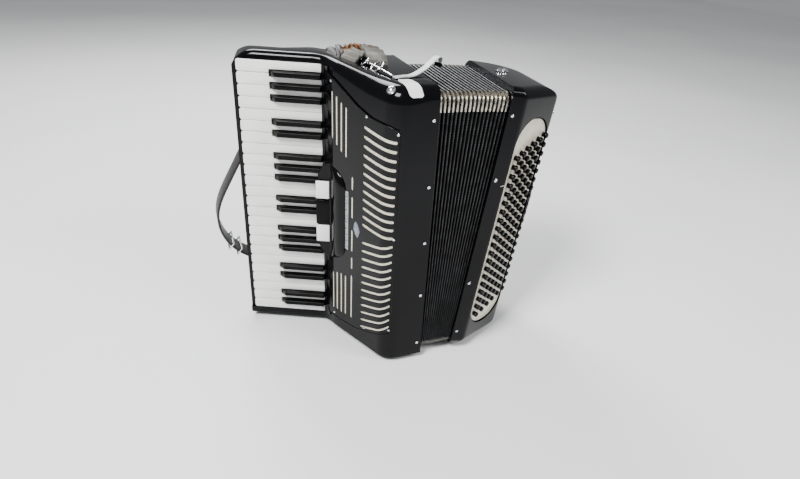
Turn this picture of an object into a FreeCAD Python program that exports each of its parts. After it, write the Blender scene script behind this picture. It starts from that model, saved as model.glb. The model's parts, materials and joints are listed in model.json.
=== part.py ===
import FreeCAD, Part
import math
import os

V = FreeCAD.Vector

# Instrument frame, millimetres: X from the keyboard (-X) to the bass end (+X), Y from the front
# (grille side, -Y) to the player (+Y), Z up. Working zero is the front edge of the joint between
# treble casing and bellows, at casing-bottom height; the whole part is then moved by ORIGIN so
# that its zero is the middle of its footprint on the floor.
ORIGIN = V(33.9, -131.5, 11.0)

# Overall sizes
CASE_H = 487.0            # treble casing height beside the bellows
CASE_FRONT = -12.0        # front face of both casings
CASE_BACK = 207.0         # back face of both casings
WALL = 5.0                # casing wall
CORNER_R = 38.0           # corner between the flat front and the slope
SLOPE_ANGLE = math.radians(64.3)
SLOPE_CORNER_X = -68.1
SLOPE_LENGTH = 121.5
TOP_ROUND = 20.0          # rounding along the top of the treble front
END_RISE = 15.0           # how far the keyboard end stands above the casing top
GAP = 0.3                 # air between neighbouring pieces of different bodies
FOOT_H = 11.0
FOOT_R = 6.5

# Keyboard
WHITE_KEYS = 24
KEY_PITCH = 19.8
KEY_SIDE_GAP = 0.8
KEY_LENGTH = 136.0
KEY_INNER = 2.0           # inner end of the key tops, measured outward from the grille line
KEY_DEPTH = 18.0          # lever thickness under a white key top
KEY_TAIL_END = 86.0       # where the narrow tail opens into the full-width head
BLACK_LENGTH = 82.0
BLACK_WIDTH = 10.6
BLACK_DRAFT = 1.3         # each side draws in this much towards the top
BLACK_NOSE = 9.0          # the front slopes back this much
BLACK_TOP = -9.0          # height of a black key above the white key tops
KEY_DIP_CLEAR = 24.0      # key bed surface, below the key tops
BED_BACK = 40.0
BED_OUTER = 146.0
RAIL_INNER = 139.4         # rail past the outer ends of the keys
RAIL_TOP = 4.0
KEYS_Z0 = 13.0            # lower side of the lowest key
KEYBOARD_ANGLE = math.radians(22.93)
KEYBOARD_BASE = V(-139.3, 141.4, 0)
BLACK_AFTER = (0, 1, 2, 4, 5, 7, 8, 9, 11, 12, 14, 15, 16, 18, 19, 21, 22)

# Key rod and key arms
ROD_U = -14.0
ROD_T = 12.0
ROD_R = 1.5
ROD_CLEAR = 0.06
ARM_WIDTH = 4.0
ARM_DEPTH = 6.0
ARM_LENGTH = 119.5
ARM_HIGHEST = 476.6
PALLET_THICK = 4.6
PALLET_LENGTH = 26.0
PALLET_WIDTH = 7.0
PALLET_Y = 102.0

# Sound board and reed blocks
BOARD_X = -5.3
BOARD_THICK = 6.0
BLOCK_REACH = 22.0
BLOCK_WIDTH = 28.0
BLOCK_Y = (34.0, 85.0, 136.0)
BLOCK_Z = (46.0, 440.0)

# Grille
GRILLE_THICK = 2.0
GRILLE_RIM = 9.0
SLOT_R = 2.2
LIP_START = -8.7          # lip over the inner ends of the keys
LIP_END = 1.4
LIP_UNDER = -1.2
CURVED_SLOTS = 12
SLOT_H = 5.4
UPPER_LEFT_Z = 415.0
UPPER_LEFT_PITCH = 15.2
UPPER_RIGHT_Z = 405.0
LOWER_LEFT_Z = 213.0
LOWER_LEFT_PITCH = 15.9
LOWER_RIGHT_Z = 229.0
RIGHT_PITCH = 14.6
SLOT_X = (-98.0, -64.0)
UPPER_SAG = 2.6
LOWER_SAG = 1.4

# Register unit
REG_Z = (150.0, 328.0)
REG_LEVEL = 0.6           # share of the half length that has the full section
REG_SECTIONS = 15
REG_CORE = V(-13.0, -17.0, 0)
TAB_SPANS = ((264.0, 297.0), (215.0, 262.0), (180.0, 213.0))
TAB_U = (-12.8, 11.0)
TAB_PIVOT_U = -1.2
TAB_T = (-19.5, -16.5)

# Bellows
BELLOWS_REST = 61.0       # distance between the casings when the bellows is closed
BELLOWS_Y = (-6.0, 198.0)
BELLOWS_Z = (5.0, 475.0)
BELLOWS_FOLD = 24.0       # depth of the folds, outside to hollow
FAN_AXIS = V(0, 0.8247, -0.5656)
FAN_ANGLE = 8.735         # degrees the bellows stands open in the rest pose
FAN_POINT = V(BELLOWS_REST, 0, 12.0)

# Bass casing
BASS_W = 112.0
BASS_Z = (3.0, 486.0)
BASS_STRIP = 25.0         # width of the plain front strip beside the bellows
BASS_SLANT = math.radians(32.97)
BASS_ROUND = 24.0
BASS_FRONT_ROUND = 12.0
BOARD_ACROSS = (1.5, 101.0)
BOARD_SPAN_Z = (38.0, 438.0)
BOARD_RADIUS = 44.0
BOARD_SINK = 2.5
BOARD_PLATE = 3.0

# Bass buttons
BUTTON_ROWS = 6
BUTTON_COLUMNS = 20
BUTTON_PITCH = 16.04
BUTTON_ROW_PITCH = 14.96
BUTTON_ROW_SHIFT = 6.41
BUTTON_R = 4.3
BUTTON_HOLE_R = 4.7
BUTTON_OUT = 7.0
BUTTON_ACROSS = 15.3
BUTTON_Z = 372.7

# Straps and air button
STRAP_Y = (92.0, 160.0)
STRAP_THICK = 4.0
SNAP_STRAP_START = V(-54, 36, CASE_H + GAP)
SNAP_STRAP_WIDTH = 20.0
SNAP_STRAP_TURN = 26.0     # degrees it leans from the way across the bellows
STRAP_RISE = 25.0
SHOULDER_Y = 238.0        # front edge of the shoulder straps, clear of the keyboard's back corner
SHOULDER_WIDTH = 42.0
AIR_R = 8.0
AIR_POS = V(0, 66.0, 436.0)


def key_point(u, t, z=0.0):
    """Point in the keyboard's own frame: u outward along a key, t down into the bed, z up."""
    c = math.cos(KEYBOARD_ANGLE)
    s = math.sin(KEYBOARD_ANGLE)
    return KEYBOARD_BASE + V(-u * c + t * s, u * s + t * c, z)


def polygon_prism(points, vector):
    """Prism of a closed polygon given by its corners."""
    wire = Part.makePolygon(list(points) + [points[0]])
    return Part.Face(wire).extrude(vector)


def key_block(u0, u1, t0, t1, z0, z1):
    """Block set square to the keyboard."""
    corners = [key_point(u0, t0, z0), key_point(u1, t0, z0), key_point(u1, t1, z0), key_point(u0, t1, z0)]
    return polygon_prism(corners, V(0, 0, z1 - z0))


def box(x, y, z):
    """Box from three (low, high) pairs."""
    return Part.makeBox(x[1] - x[0], y[1] - y[0], z[1] - z[0], V(x[0], y[0], z[0]))


def outline_face(grow=0.0):
    """Plan of the treble casing: flat front, curved slope and keyboard bed."""
    slope = V(-math.cos(SLOPE_ANGLE), math.sin(SLOPE_ANGLE), 0)
    reach = CORNER_R * math.tan(SLOPE_ANGLE / 2)
    start = V(SLOPE_CORNER_X + reach, CASE_FRONT, 0)
    finish = V(SLOPE_CORNER_X, CASE_FRONT, 0) + slope * reach
    centre = start + V(0, CORNER_R, 0)
    middle = centre - V(math.sin(SLOPE_ANGLE / 2), math.cos(SLOPE_ANGLE / 2), 0) * CORNER_R
    edges = [Part.LineSegment(V(0, CASE_FRONT, 0), start).toShape()]
    edges.append(Part.Arc(start, middle, finish).toShape())
    back_u = (CASE_BACK - key_point(0, BED_BACK).y) / math.sin(KEYBOARD_ANGLE)
    rest = [finish, finish + slope * SLOPE_LENGTH, key_point(-2, 0), key_point(BED_OUTER, 0)]
    rest += [key_point(BED_OUTER, BED_BACK), key_point(back_u, BED_BACK)]
    rest += [V(0, CASE_BACK, 0), V(0, CASE_FRONT, 0)]
    for a, b in zip(rest, rest[1:]):
        edges.append(Part.LineSegment(a, b).toShape())
    wire = Part.Wire(edges)
    if grow:
        wire = wire.makeOffset2D(grow)
    return Part.Face(wire)


def outline_solid(grow, z0, z1):
    """Treble plan, grown or shrunk, as a solid between two heights."""
    solid = outline_face(grow).extrude(V(0, 0, z1 - z0))
    solid.translate(V(0, 0, z0))
    return solid


def round_edges(solid, radius, keep):
    """Fillet the edges whose middle passes the keep test."""
    edges = []
    for edge in solid.Edges:
        if keep(edge):
            edges.append(edge)
    return solid.makeFillet(radius, edges)


def treble_casing():
    """Black shell with the sloped front, open to the bellows, with the keyboard bed at its end."""
    body = outline_solid(0, 0, CASE_H)

    def front_top(edge):
        m = edge.BoundBox
        return m.ZMin > CASE_H - 1 and m.XMax < 1 and m.XMin > -139 and m.YMax < 145

    body = round_edges(body, TOP_ROUND, front_top)
    end = outline_solid(0, 0, CASE_H + END_RISE).common(key_block(-12, 400, -1, 400, 0, 600))
    body = body.fuse(end)
    cavity = outline_solid(-WALL, WALL, CASE_H - WALL).common(key_block(-400, 6, -400, 400, 0, 600))
    shell = body.cut(cavity)
    keys_top = KEYS_Z0 + WHITE_KEYS * KEY_PITCH
    shell = shell.cut(key_block(-9, RAIL_INNER, -9, KEY_DIP_CLEAR, KEYS_Z0 - 0.5, keys_top + 0.5))
    shell = shell.cut(key_block(RAIL_INNER - 1, 170, -9, RAIL_TOP, KEYS_Z0 - 0.5, keys_top + 0.5))
    shell = shell.cut(key_block(-14, 6, 2, KEY_DIP_CLEAR, KEYS_Z0 - 0.5, keys_top - 8))
    shell = shell.cut(box((-8, 1), (16, 182), (28, 459)))
    front_layer = outline_solid(2, 0, 600).cut(outline_solid(-WALL - 3, 0, 600))
    return shell.cut(grille_region(-GRILLE_RIM).common(front_layer))


def grille_region(grow):
    """Area of the grille seen from the front, as a prism through the casing."""
    g = grow
    points = [
        V(-140 - g * 0.1, -60, 21 - g),
        V(-140 - g * 0.1, -60, 486 + g),
        V(-132, -60, 479 + g),
        V(-125, -60, 471 + g),
        V(-117, -60, 461 + g),
        V(-103, -60, 444 + g),
        V(-89, -60, 433 + g),
        V(-74, -60, 430 + g),
        V(-58 + g, -60, 424 + g),
        V(-58 + g, -60, 56 - g),
        V(-73, -60, 47 - g),
        V(-85, -60, 37 - g),
        V(-100, -60, 26 - g),
        V(-116, -60, 22 - g),
    ]
    return polygon_prism(points, V(0, 196, 0))


def arc_strip(z_left, z_right, sag):
    """Curved slot across the slope, as a prism through the grille sheet."""
    upper = []
    lower = []
    steps = 8
    for i in range(steps + 1):
        f = i / steps
        x = SLOT_X[0] + (SLOT_X[1] - SLOT_X[0]) * f
        z = z_left + (z_right - z_left) * f - sag * 4 * f * (1 - f)
        upper.append(V(x, -30, z + SLOT_H / 2))
        lower.append(V(x, -30, z - SLOT_H / 2))
    return polygon_prism(upper + lower[::-1], V(0, 100, 0))


def grille_slots():
    """All sound slots of the grille."""
    cuts = []
    for i in range(CURVED_SLOTS):
        right = UPPER_RIGHT_Z - RIGHT_PITCH * i
        cuts.append(arc_strip(UPPER_LEFT_Z - UPPER_LEFT_PITCH * i, right, UPPER_SAG))
        right = LOWER_RIGHT_Z - RIGHT_PITCH * i
        cuts.append(arc_strip(LOWER_LEFT_Z - LOWER_LEFT_PITCH * i, right, LOWER_SAG))
    verticals = (
        (-129.0, 114.5, 375, 453),
        (-124.5, 104.5, 366, 447),
        (-119.5, 93.5, 358, 440),
        (-114.5, 83.0, 352, 435),
        (-129.0, 114.5, 39, 120),
        (-124.5, 104.5, 41, 124),
        (-119.5, 93.5, 40, 127),
        (-114.5, 83.0, 42, 127),
        (-107.5, 69.5, 300, 324),
        (-107.5, 69.5, 248, 288),
        (-107.5, 69.5, 184, 226),
        (-107.5, 69.5, 148, 172),
        (-107.5, 69.5, 43, 135),
    )
    for x, y, z0, z1 in verticals:
        cuts.append(Part.makeCylinder(SLOT_R, z1 - z0, V(x, y, z0)))
    return cuts


def treble_grille():
    """Slotted sheet over the sloped front."""
    sheet = outline_solid(GRILLE_THICK, 0, 600).cut(outline_solid(0, -1, 601))
    sheet = sheet.common(grille_region(0))
    sheet = sheet.cut(key_block(LIP_START, 200, -30, 60, -1, 700))
    keys_top = KEYS_Z0 + WHITE_KEYS * KEY_PITCH
    section = [(LIP_START - 0.1, -11.4), (-4, -6.2), (-0.5, -3.6), (LIP_END, -2.9), (LIP_END, LIP_UNDER)]
    section += [(LIP_START, LIP_UNDER)]
    lip = polygon_prism([key_point(u, t, KEYS_Z0) for u, t in section], V(0, 0, keys_top - KEYS_Z0))
    return sheet.cut(grille_slots()).fuse(lip)


def register_housing():
    """Boat-shaped hood in the corner between keys and grille, full in the middle and rounded at its ends."""
    profile = [(9.5, -10.8), (9.5, -12.4), (8, -13.4), (-8, -13.7), (-14.0, -14.6), (-15, -19), (-17.5, -27)]
    profile += [(-22, -34), (-29, -41.5), (-38, -46.8), (-46, -49.8), (-51, -50.2)]
    profile += [(-46, -40), (-20, -16), (-9, -10.8)]
    middle = (REG_Z[0] + REG_Z[1]) / 2
    half = (REG_Z[1] - REG_Z[0]) / 2
    sections = []
    for i in range(REG_SECTIONS):
        share = -math.cos(math.pi * i / (REG_SECTIONS - 1))
        past = max(abs(share) - REG_LEVEL, 0) / (1 - REG_LEVEL)
        size = max(math.sqrt(1 - past * past), 0.08)
        points = []
        for u, t in profile:
            flat = V(u, t, 0) * size + REG_CORE * (1 - size)
            points.append(key_point(flat.x, flat.y, middle + share * half))
        sections.append(Part.makePolygon(points + [points[0]]))
    hood = Part.makeLoft(sections, True, True).cut(outline_solid(GRILLE_THICK + 0.2, 0, 600))
    return max(hood.Solids, key=lambda solid: solid.Volume)


def register_tab(span):
    """One rocking register tab with the round barrel it turns on."""
    low, high = span[0] + 0.4, span[1] - 0.4
    plate = key_block(TAB_U[0] + 1, TAB_U[1], TAB_T[0], TAB_T[1], low, high)
    middle = (TAB_T[0] + TAB_T[1]) / 2
    barrel = Part.makeCylinder(TAB_T[1] - middle, high - low, key_point(TAB_PIVOT_U, middle, low))
    return plate.fuse(barrel)


def key_arm(z_key):
    """Lever behind the rod with the pallet that closes a hole of the sound board."""
    z = min(z_key, ARM_HIGHEST)
    arm = key_block(ROD_U - ARM_LENGTH, KEY_INNER + 4, ROD_T - ARM_DEPTH / 2, ROD_T + ARM_DEPTH / 2,
                    z - ARM_WIDTH / 2, z + ARM_WIDTH / 2)
    boss_low = key_point(ROD_U, ROD_T, z - ARM_WIDTH / 2)
    boss = Part.makeCylinder(4.6, ARM_WIDTH, boss_low)
    face_x = BOARD_X - BOARD_THICK - GAP
    arm = arm.cut(box((face_x, 50), (0, 300), (0, 600)))
    pallet_y = (PALLET_Y - PALLET_LENGTH / 2, PALLET_Y + PALLET_LENGTH / 2)
    pallet = box((face_x - PALLET_THICK, face_x), pallet_y, (z - PALLET_WIDTH / 2, z + PALLET_WIDTH / 2))
    hole = Part.makeCylinder(ROD_R + ROD_CLEAR, ARM_WIDTH + 20, boss_low - V(0, 0, 10))
    return arm.fuse([boss, pallet]).cut(hole)


def white_key(number):
    """White key: full-width rounded head, tail cut back beside the black keys, lever and pallet."""
    z_top = KEYS_Z0 + (WHITE_KEYS - number) * KEY_PITCH
    z0 = z_top + KEY_SIDE_GAP / 2
    z1 = z_top + KEY_PITCH - KEY_SIDE_GAP / 2
    key = key_block(KEY_INNER, KEY_INNER + KEY_LENGTH, 0, KEY_DEPTH, z0, z1)
    outer = KEY_INNER + KEY_LENGTH

    def head_corner(edge):
        mid = edge.CenterOfMass
        across = (mid - key_point(outer, KEY_DEPTH / 2)).dot(key_point(1, 0) - key_point(0, 0))
        return abs(across) < 0.1 and abs(edge.Length - KEY_DEPTH) < 0.1

    key = round_edges(key, 4.0, head_corner)
    reach = (BLACK_WIDTH / 2 + KEY_SIDE_GAP)
    if number - 1 in BLACK_AFTER:
        key = key.cut(key_block(-1, KEY_TAIL_END, -1, KEY_DEPTH + 1, z_top - 1, z_top + reach))
    if number - 2 in BLACK_AFTER:
        high = z_top + KEY_PITCH
        key = key.cut(key_block(-1, KEY_TAIL_END, -1, KEY_DEPTH + 1, high - reach, high + 1))
    mid = z_top + KEY_PITCH / 2
    low_cut = reach if number - 1 in BLACK_AFTER else 0
    high_cut = reach if number - 2 in BLACK_AFTER else 0
    mid += (low_cut - high_cut) / 4
    return key.fuse(key_arm(mid)).removeSplitter()


def black_key(index):
    """Black key with drawn-in sides and a sloped front, lever and pallet."""
    z_mid = KEYS_Z0 + (WHITE_KEYS - 1 - BLACK_AFTER[index]) * KEY_PITCH
    end = KEY_INNER + BLACK_LENGTH
    sections = []
    for t, half, front in ((KEY_DEPTH, BLACK_WIDTH / 2, end), (0.5, BLACK_WIDTH / 2, end),
                           (BLACK_TOP, BLACK_WIDTH / 2 - BLACK_DRAFT, end - BLACK_NOSE)):
        corners = [(KEY_INNER, -half), (front, -half), (front, half), (KEY_INNER, half)]
        points = [key_point(u, t, z_mid + z) for u, z in corners]
        sections.append(Part.makePolygon(points + [points[0]]))
    top = Part.makeLoft(sections[1:], True, True)
    key = Part.makeLoft(sections[:2], True, True).fuse(top).removeSplitter()

    def top_side(edge):
        mid = edge.CenterOfMass - key_point(0, BLACK_TOP)
        down = mid.dot(key_point(0, 1) - key_point(0, 0))
        return abs(down) < 0.1

    key = round_edges(key, 1.3, top_side)
    return key.fuse(key_arm(z_mid)).removeSplitter()


def key_rod():
    """Steel rod that all keys turn on."""
    foot = key_point(ROD_U, ROD_T, WALL)
    return Part.makeCylinder(ROD_R, CASE_H - 2 * WALL, foot)


def reed_unit(sign):
    """Board with three reed blocks that reach into the bellows; sign +1 treble, -1 bass."""
    x = BOARD_X if sign > 0 else BELLOWS_REST - BOARD_X
    plate_x = sorted((x - sign * BOARD_THICK, x))
    plate = box(plate_x, (-4, 199), (12, 481))
    reach = BLOCK_REACH if sign > 0 else BELLOWS_REST - BLOCK_REACH + 4
    blocks = []
    for y in BLOCK_Y:
        blocks.append(box(sorted((x, reach)), (y, y + BLOCK_WIDTH), BLOCK_Z))
    return Part.Compound([plate] + blocks)


def rubber_feet():
    """Feet under the treble casing."""
    places = [V(-30, 26, 0), V(-30, 188, 0), V(-112, 178, 0), key_point(118, 30)]
    feet = []
    for p in places:
        foot = Part.makeCylinder(FOOT_R, FOOT_H, p - V(0, 0, FOOT_H))
        feet.append(round_edges(foot, 1.5, lambda e: e.BoundBox.ZMax < -FOOT_H + 0.5 and e.Length > 20))
    return Part.Compound(feet)


def rotate_bass(shape):
    """Turn a bass-side piece from the closed position to the fanned-open rest pose."""
    shape.rotate(FAN_POINT, FAN_AXIS, FAN_ANGLE)
    return shape


def bellows():
    """Folded bellows as one hollow body between the two casings."""
    def ring(inset, x, turn):
        y0, y1 = BELLOWS_Y[0] + inset, BELLOWS_Y[1] - inset
        z0, z1 = BELLOWS_Z[0] + inset, BELLOWS_Z[1] - inset
        corners = [V(x, y0, z0), V(x, y1, z0), V(x, y1, z1), V(x, y0, z1)]
        wire = Part.makePolygon(corners + [corners[0]])
        return rotate_bass(wire) if turn else wire

    outer = Part.makeLoft([ring(0, GAP, False), ring(0, BELLOWS_REST - GAP, True)], True, True)
    inner = Part.makeLoft([ring(BELLOWS_FOLD, GAP - 0.01, False),
                           ring(BELLOWS_FOLD, BELLOWS_REST - GAP + 0.01, True)], True, True)
    return outer.cut(inner)


def bass_point(across, out, z):
    """Point on the slanted front of the bass casing; out is away from the casing."""
    c = math.cos(BASS_SLANT)
    s = math.sin(BASS_SLANT)
    x = BELLOWS_REST + BASS_STRIP
    return V(x + across * c + out * s, CASE_FRONT + across * s - out * c, z)


def bass_outline(inset):
    """Plan of the bass casing as a face at height zero."""
    outer = BELLOWS_REST + BASS_W
    slant_y = CASE_FRONT + (BASS_W - BASS_STRIP) * math.tan(BASS_SLANT)
    points = [
        V(BELLOWS_REST, CASE_FRONT, 0),
        V(BELLOWS_REST + BASS_STRIP, CASE_FRONT, 0),
        V(outer, slant_y, 0),
        V(outer, CASE_BACK, 0),
        V(BELLOWS_REST, CASE_BACK, 0),
    ]
    wire = Part.makePolygon(points + [points[0]])
    if inset:
        wire = wire.makeOffset2D(-inset)
    return Part.Face(wire)


def board_outline(inset, out, depth):
    """Elongated rounded panel on the slanted front, as a prism into the casing."""
    a0, a1 = BOARD_ACROSS[0] + inset, BOARD_ACROSS[1] - inset
    z0, z1 = BOARD_SPAN_Z[0] + inset, BOARD_SPAN_Z[1] - inset
    corners = [bass_point(a, out, z) for a, z in ((a0, z0), (a1, z0), (a1, z1), (a0, z1))]
    inward = (bass_point(0, -1, 0) - bass_point(0, 0, 0)) * depth
    prism = polygon_prism(corners, inward)

    def corner(edge):
        return abs(edge.Length - depth) < 0.01

    return round_edges(prism, BOARD_RADIUS - inset, corner)


def button_centres():
    """Centre lines of all bass buttons on the slanted front, in row and column order."""
    centres = []
    for row in range(BUTTON_ROWS):
        for column in range(BUTTON_COLUMNS):
            across = BUTTON_ACROSS + BUTTON_ROW_PITCH * row
            z = BUTTON_Z - BUTTON_PITCH * column + BUTTON_ROW_SHIFT * row
            centres.append((across, z))
    return centres


def button_rods(radius, out, depth):
    """One cylinder per bass button, from out above the face to depth below it."""
    inward = bass_point(0, -1, 0) - bass_point(0, 0, 0)
    length = out + depth
    return [Part.makeCylinder(radius, length, bass_point(a, out, z), inward) for a, z in button_centres()]


def bass_casing():
    """Black bass shell with the slanted front and its long rounded window."""
    x_outer = BELLOWS_REST + BASS_W
    outer = bass_outline(0).extrude(V(0, 0, BASS_Z[1] - BASS_Z[0]))
    outer.translate(V(0, 0, BASS_Z[0]))

    def level_outer(edge, x_min):
        b = edge.BoundBox
        return b.XMin > x_min - 0.1 and b.ZMax - b.ZMin < 1

    def front_top(edge):
        b = edge.BoundBox
        level = b.ZMin > BASS_Z[1] - 0.1 or b.ZMax < BASS_Z[0] + 0.1
        return level and b.YMax < 60 and edge.Length > 10 and b.XMax < x_outer - 1

    outer = round_edges(outer, BASS_ROUND, lambda e: level_outer(e, x_outer))
    outer = round_edges(outer, BASS_FRONT_ROUND, front_top)
    cavity = bass_outline(WALL).extrude(V(0, 0, BASS_Z[1] - BASS_Z[0] - 2 * WALL))
    cavity.translate(V(0, 0, BASS_Z[0] + WALL))
    cavity = round_edges(cavity, BASS_ROUND - WALL, lambda e: level_outer(e, x_outer - WALL))
    mouth = box((BELLOWS_REST - 1, BELLOWS_REST + WALL + 3), (16, 182), (28, 459))
    shell = outer.cut([cavity, mouth, board_outline(3.0, 5, 30)])
    shell = shell.cut(board_outline(0, 5, 5 + BOARD_SINK))
    air = Part.makeCylinder(AIR_R + 0.5, 40, V(x_outer - 20, AIR_POS.y, AIR_POS.z), V(1, 0, 0))
    return rotate_bass(shell.cut(air))


def bass_button_board():
    """Cream panel that the bass buttons come through."""
    plate = board_outline(3.4, -BOARD_SINK, BOARD_PLATE)
    return rotate_bass(plate.cut(button_rods(BUTTON_HOLE_R, 2, 12)))


def bass_buttons():
    """Round bass buttons, six rows of twenty."""
    return rotate_bass(Part.Compound(button_rods(BUTTON_R, BUTTON_OUT, 6.0)))


def air_button():
    """Air release button on the outer face."""
    x = BELLOWS_REST + BASS_W
    cap = Part.makeCylinder(AIR_R, 17, V(x - 8, AIR_POS.y, AIR_POS.z), V(1, 0, 0))
    cap = round_edges(cap, 2.0, lambda e: e.BoundBox.XMin > x + 8)
    return rotate_bass(cap)


def band(points, width_vector, thick_points):
    """Flat strap from two matching lines of points, inner and outer."""
    inner = Part.BSplineCurve()
    inner.interpolate(points)
    outer = Part.BSplineCurve()
    outer.interpolate(thick_points)
    edges = [inner.toShape(), Part.LineSegment(points[-1], thick_points[-1]).toShape(), outer.toShape()]
    edges.append(Part.LineSegment(thick_points[0], points[0]).toShape())
    return Part.Face(Part.Wire(edges)).extrude(width_vector)


def bass_strap():
    """Leather hand strap along the outer face, standing off for the hand."""
    x = BELLOWS_REST + BASS_W + GAP
    inner = [V(x, STRAP_Y[0], 62), V(x + 9, STRAP_Y[0], 100), V(x + STRAP_RISE, STRAP_Y[0], 200),
             V(x + STRAP_RISE, STRAP_Y[0], 300), V(x + 9, STRAP_Y[0], 385), V(x, STRAP_Y[0], 420)]
    outer = [p + V(STRAP_THICK, 0, 0) for p in inner]
    strap = band(inner, V(0, STRAP_Y[1] - STRAP_Y[0], 0), outer)
    ends = []
    for z in (44, 420):
        ends.append(box((x, x + STRAP_THICK), (STRAP_Y[0], STRAP_Y[1]), (z, z + 18)))
    return rotate_bass(strap.fuse(ends).removeSplitter())


def bellows_strap():
    """Bellows strap, unsnapped: its free end stands up over the bellows."""
    inner = [SNAP_STRAP_START + V(x, 0, z) for x, z in ((0, 0), (24, 0), (46, 3), (74, 15), (96, 20))]
    outer = [p + V(0, 0, 2.5) for p in inner]
    strap = band(inner, V(0, SNAP_STRAP_WIDTH, 0), outer)
    strap.rotate(SNAP_STRAP_START, V(0, 0, 1), SNAP_STRAP_TURN)
    return strap


def offset_line(points, distance):
    """Second line of points beside the first, in the XZ plane."""
    moved = []
    for i, p in enumerate(points):
        before = points[max(i - 1, 0)]
        after = points[min(i + 1, len(points) - 1)]
        along = (after - before).normalize()
        moved.append(p + V(along.z, 0, -along.x) * distance)
    return moved


def shoulder_straps():
    """Two shoulder straps behind the treble casing; the outer one hangs past the keyboard."""
    y = SHOULDER_Y
    outer = [V(-150, y, 462), V(-196, y, 425), V(-245, y, 340), V(-290, y, 255), V(-314, y, 192),
             V(-302, y, 140), V(-262, y, 102), V(-205, y, 86), V(-152, y, 86)]
    inner = [V(-66, y, 462), V(-42, y, 420), V(-30, y, 300), V(-34, y, 180), V(-48, y, 110), V(-66, y, 86)]
    width = V(0, SHOULDER_WIDTH, 0)
    first = band(outer, width, offset_line(outer, STRAP_THICK))
    second = band(inner, width, offset_line(inner, STRAP_THICK))
    return Part.Compound([first, second])


def metal_fittings():
    """Strap brackets, bellows pins and grille screws."""
    parts = []
    for z in (478, 70):
        for x in (-66, -150):
            plate = box((x - 12, x + 12), (CASE_BACK + 0.1, CASE_BACK + 2.6), (z - 7, z + 7))
            arm = box((x - 9, x + 9), (CASE_BACK + 2, SHOULDER_Y + 22), (z - 1.5, z + 1.5))
            parts.append(plate.fuse(arm).removeSplitter())
    for z in (438, 331, 231, 128, 26):
        parts.append(Part.makeCylinder(2.6, 2.0, V(-9, CASE_FRONT - 2.1, z), V(0, 1, 0)))
    return Part.Compound(parts)


def build():
    """Make every node of the accordion."""
    nodes = {
        "treble_casing": treble_casing(),
        "treble_grille": treble_grille(),
        "register_housing": register_housing(),
        "key_rod": key_rod(),
        "treble_reed_unit": reed_unit(1),
        "rubber_feet": rubber_feet(),
        "metal_fittings": metal_fittings(),
        "shoulder_straps": shoulder_straps(),
        "bellows_strap": bellows_strap(),
        "bellows": bellows(),
        "bass_casing": bass_casing(),
        "bass_button_board": bass_button_board(),
        "bass_buttons": bass_buttons(),
        "bass_reed_unit": rotate_bass(reed_unit(-1)),
        "bass_strap": bass_strap(),
        "air_button": air_button(),
    }
    for i, span in enumerate(TAB_SPANS):
        nodes["register_tab_%d" % (i + 1)] = register_tab(span)
    for number in range(1, WHITE_KEYS + 1):
        nodes["white_key_%02d" % number] = white_key(number)
    for index in range(len(BLACK_AFTER)):
        nodes["black_key_%02d" % (index + 1)] = black_key(index)
    return nodes


os.makedirs("parts", exist_ok=True)
for name, shape in build().items():
    shape.translate(ORIGIN)
    shape.exportStep("parts/" + name + ".step")
    print(name, len(shape.Solids), shape.isValid())
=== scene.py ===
import json
import logging
import math
from dataclasses import dataclass, field
from enum import Enum
from typing import Sequence

import bmesh
import bpy
import numpy as np
from mathutils import Matrix, Quaternion, Vector


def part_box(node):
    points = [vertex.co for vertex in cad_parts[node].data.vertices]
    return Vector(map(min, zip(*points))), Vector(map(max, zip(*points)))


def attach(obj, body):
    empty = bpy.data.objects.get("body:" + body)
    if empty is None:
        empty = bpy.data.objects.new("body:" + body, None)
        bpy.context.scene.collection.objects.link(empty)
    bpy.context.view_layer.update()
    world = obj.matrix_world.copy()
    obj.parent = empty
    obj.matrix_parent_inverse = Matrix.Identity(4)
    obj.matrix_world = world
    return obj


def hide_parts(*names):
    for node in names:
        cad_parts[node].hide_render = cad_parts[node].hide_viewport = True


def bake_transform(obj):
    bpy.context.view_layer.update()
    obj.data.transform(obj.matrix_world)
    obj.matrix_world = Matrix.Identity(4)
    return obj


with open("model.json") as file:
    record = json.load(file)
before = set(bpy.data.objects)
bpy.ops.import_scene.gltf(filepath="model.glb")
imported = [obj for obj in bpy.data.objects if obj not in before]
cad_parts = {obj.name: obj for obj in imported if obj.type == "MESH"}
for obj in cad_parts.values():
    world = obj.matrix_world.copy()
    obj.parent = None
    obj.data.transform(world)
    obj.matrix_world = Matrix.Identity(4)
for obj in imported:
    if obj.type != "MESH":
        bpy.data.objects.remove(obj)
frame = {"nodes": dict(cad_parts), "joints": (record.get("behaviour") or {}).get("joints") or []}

LOG = logging.getLogger("accordion")
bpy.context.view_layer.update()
MM = 0.001
TREBLE, BELLOWS, BASS = "treble_side", "bellows_body", "bass_side"
KEY_ANGLE = math.radians(22.93)
FAN_ANGLE = math.radians(8.735)
CASE_H = 487.0
CASE_FRONT, CASE_BACK = -12.0, 207.0
BELLOWS_REST = 61.0
KEY_FOOT_X, KEY_FOOT_Y = -139.3, 141.4
STRIP_WIDTH = 25.0
SLANT_ANGLE = math.radians(32.97)
FOLDS = 17
FAN_FOLDS = 11


class Region(Enum):
    """Parts of a bellows fold that carry different coverings."""

    CLOTH = 0
    BINDING = 1
    DOTTED = 2


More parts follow.
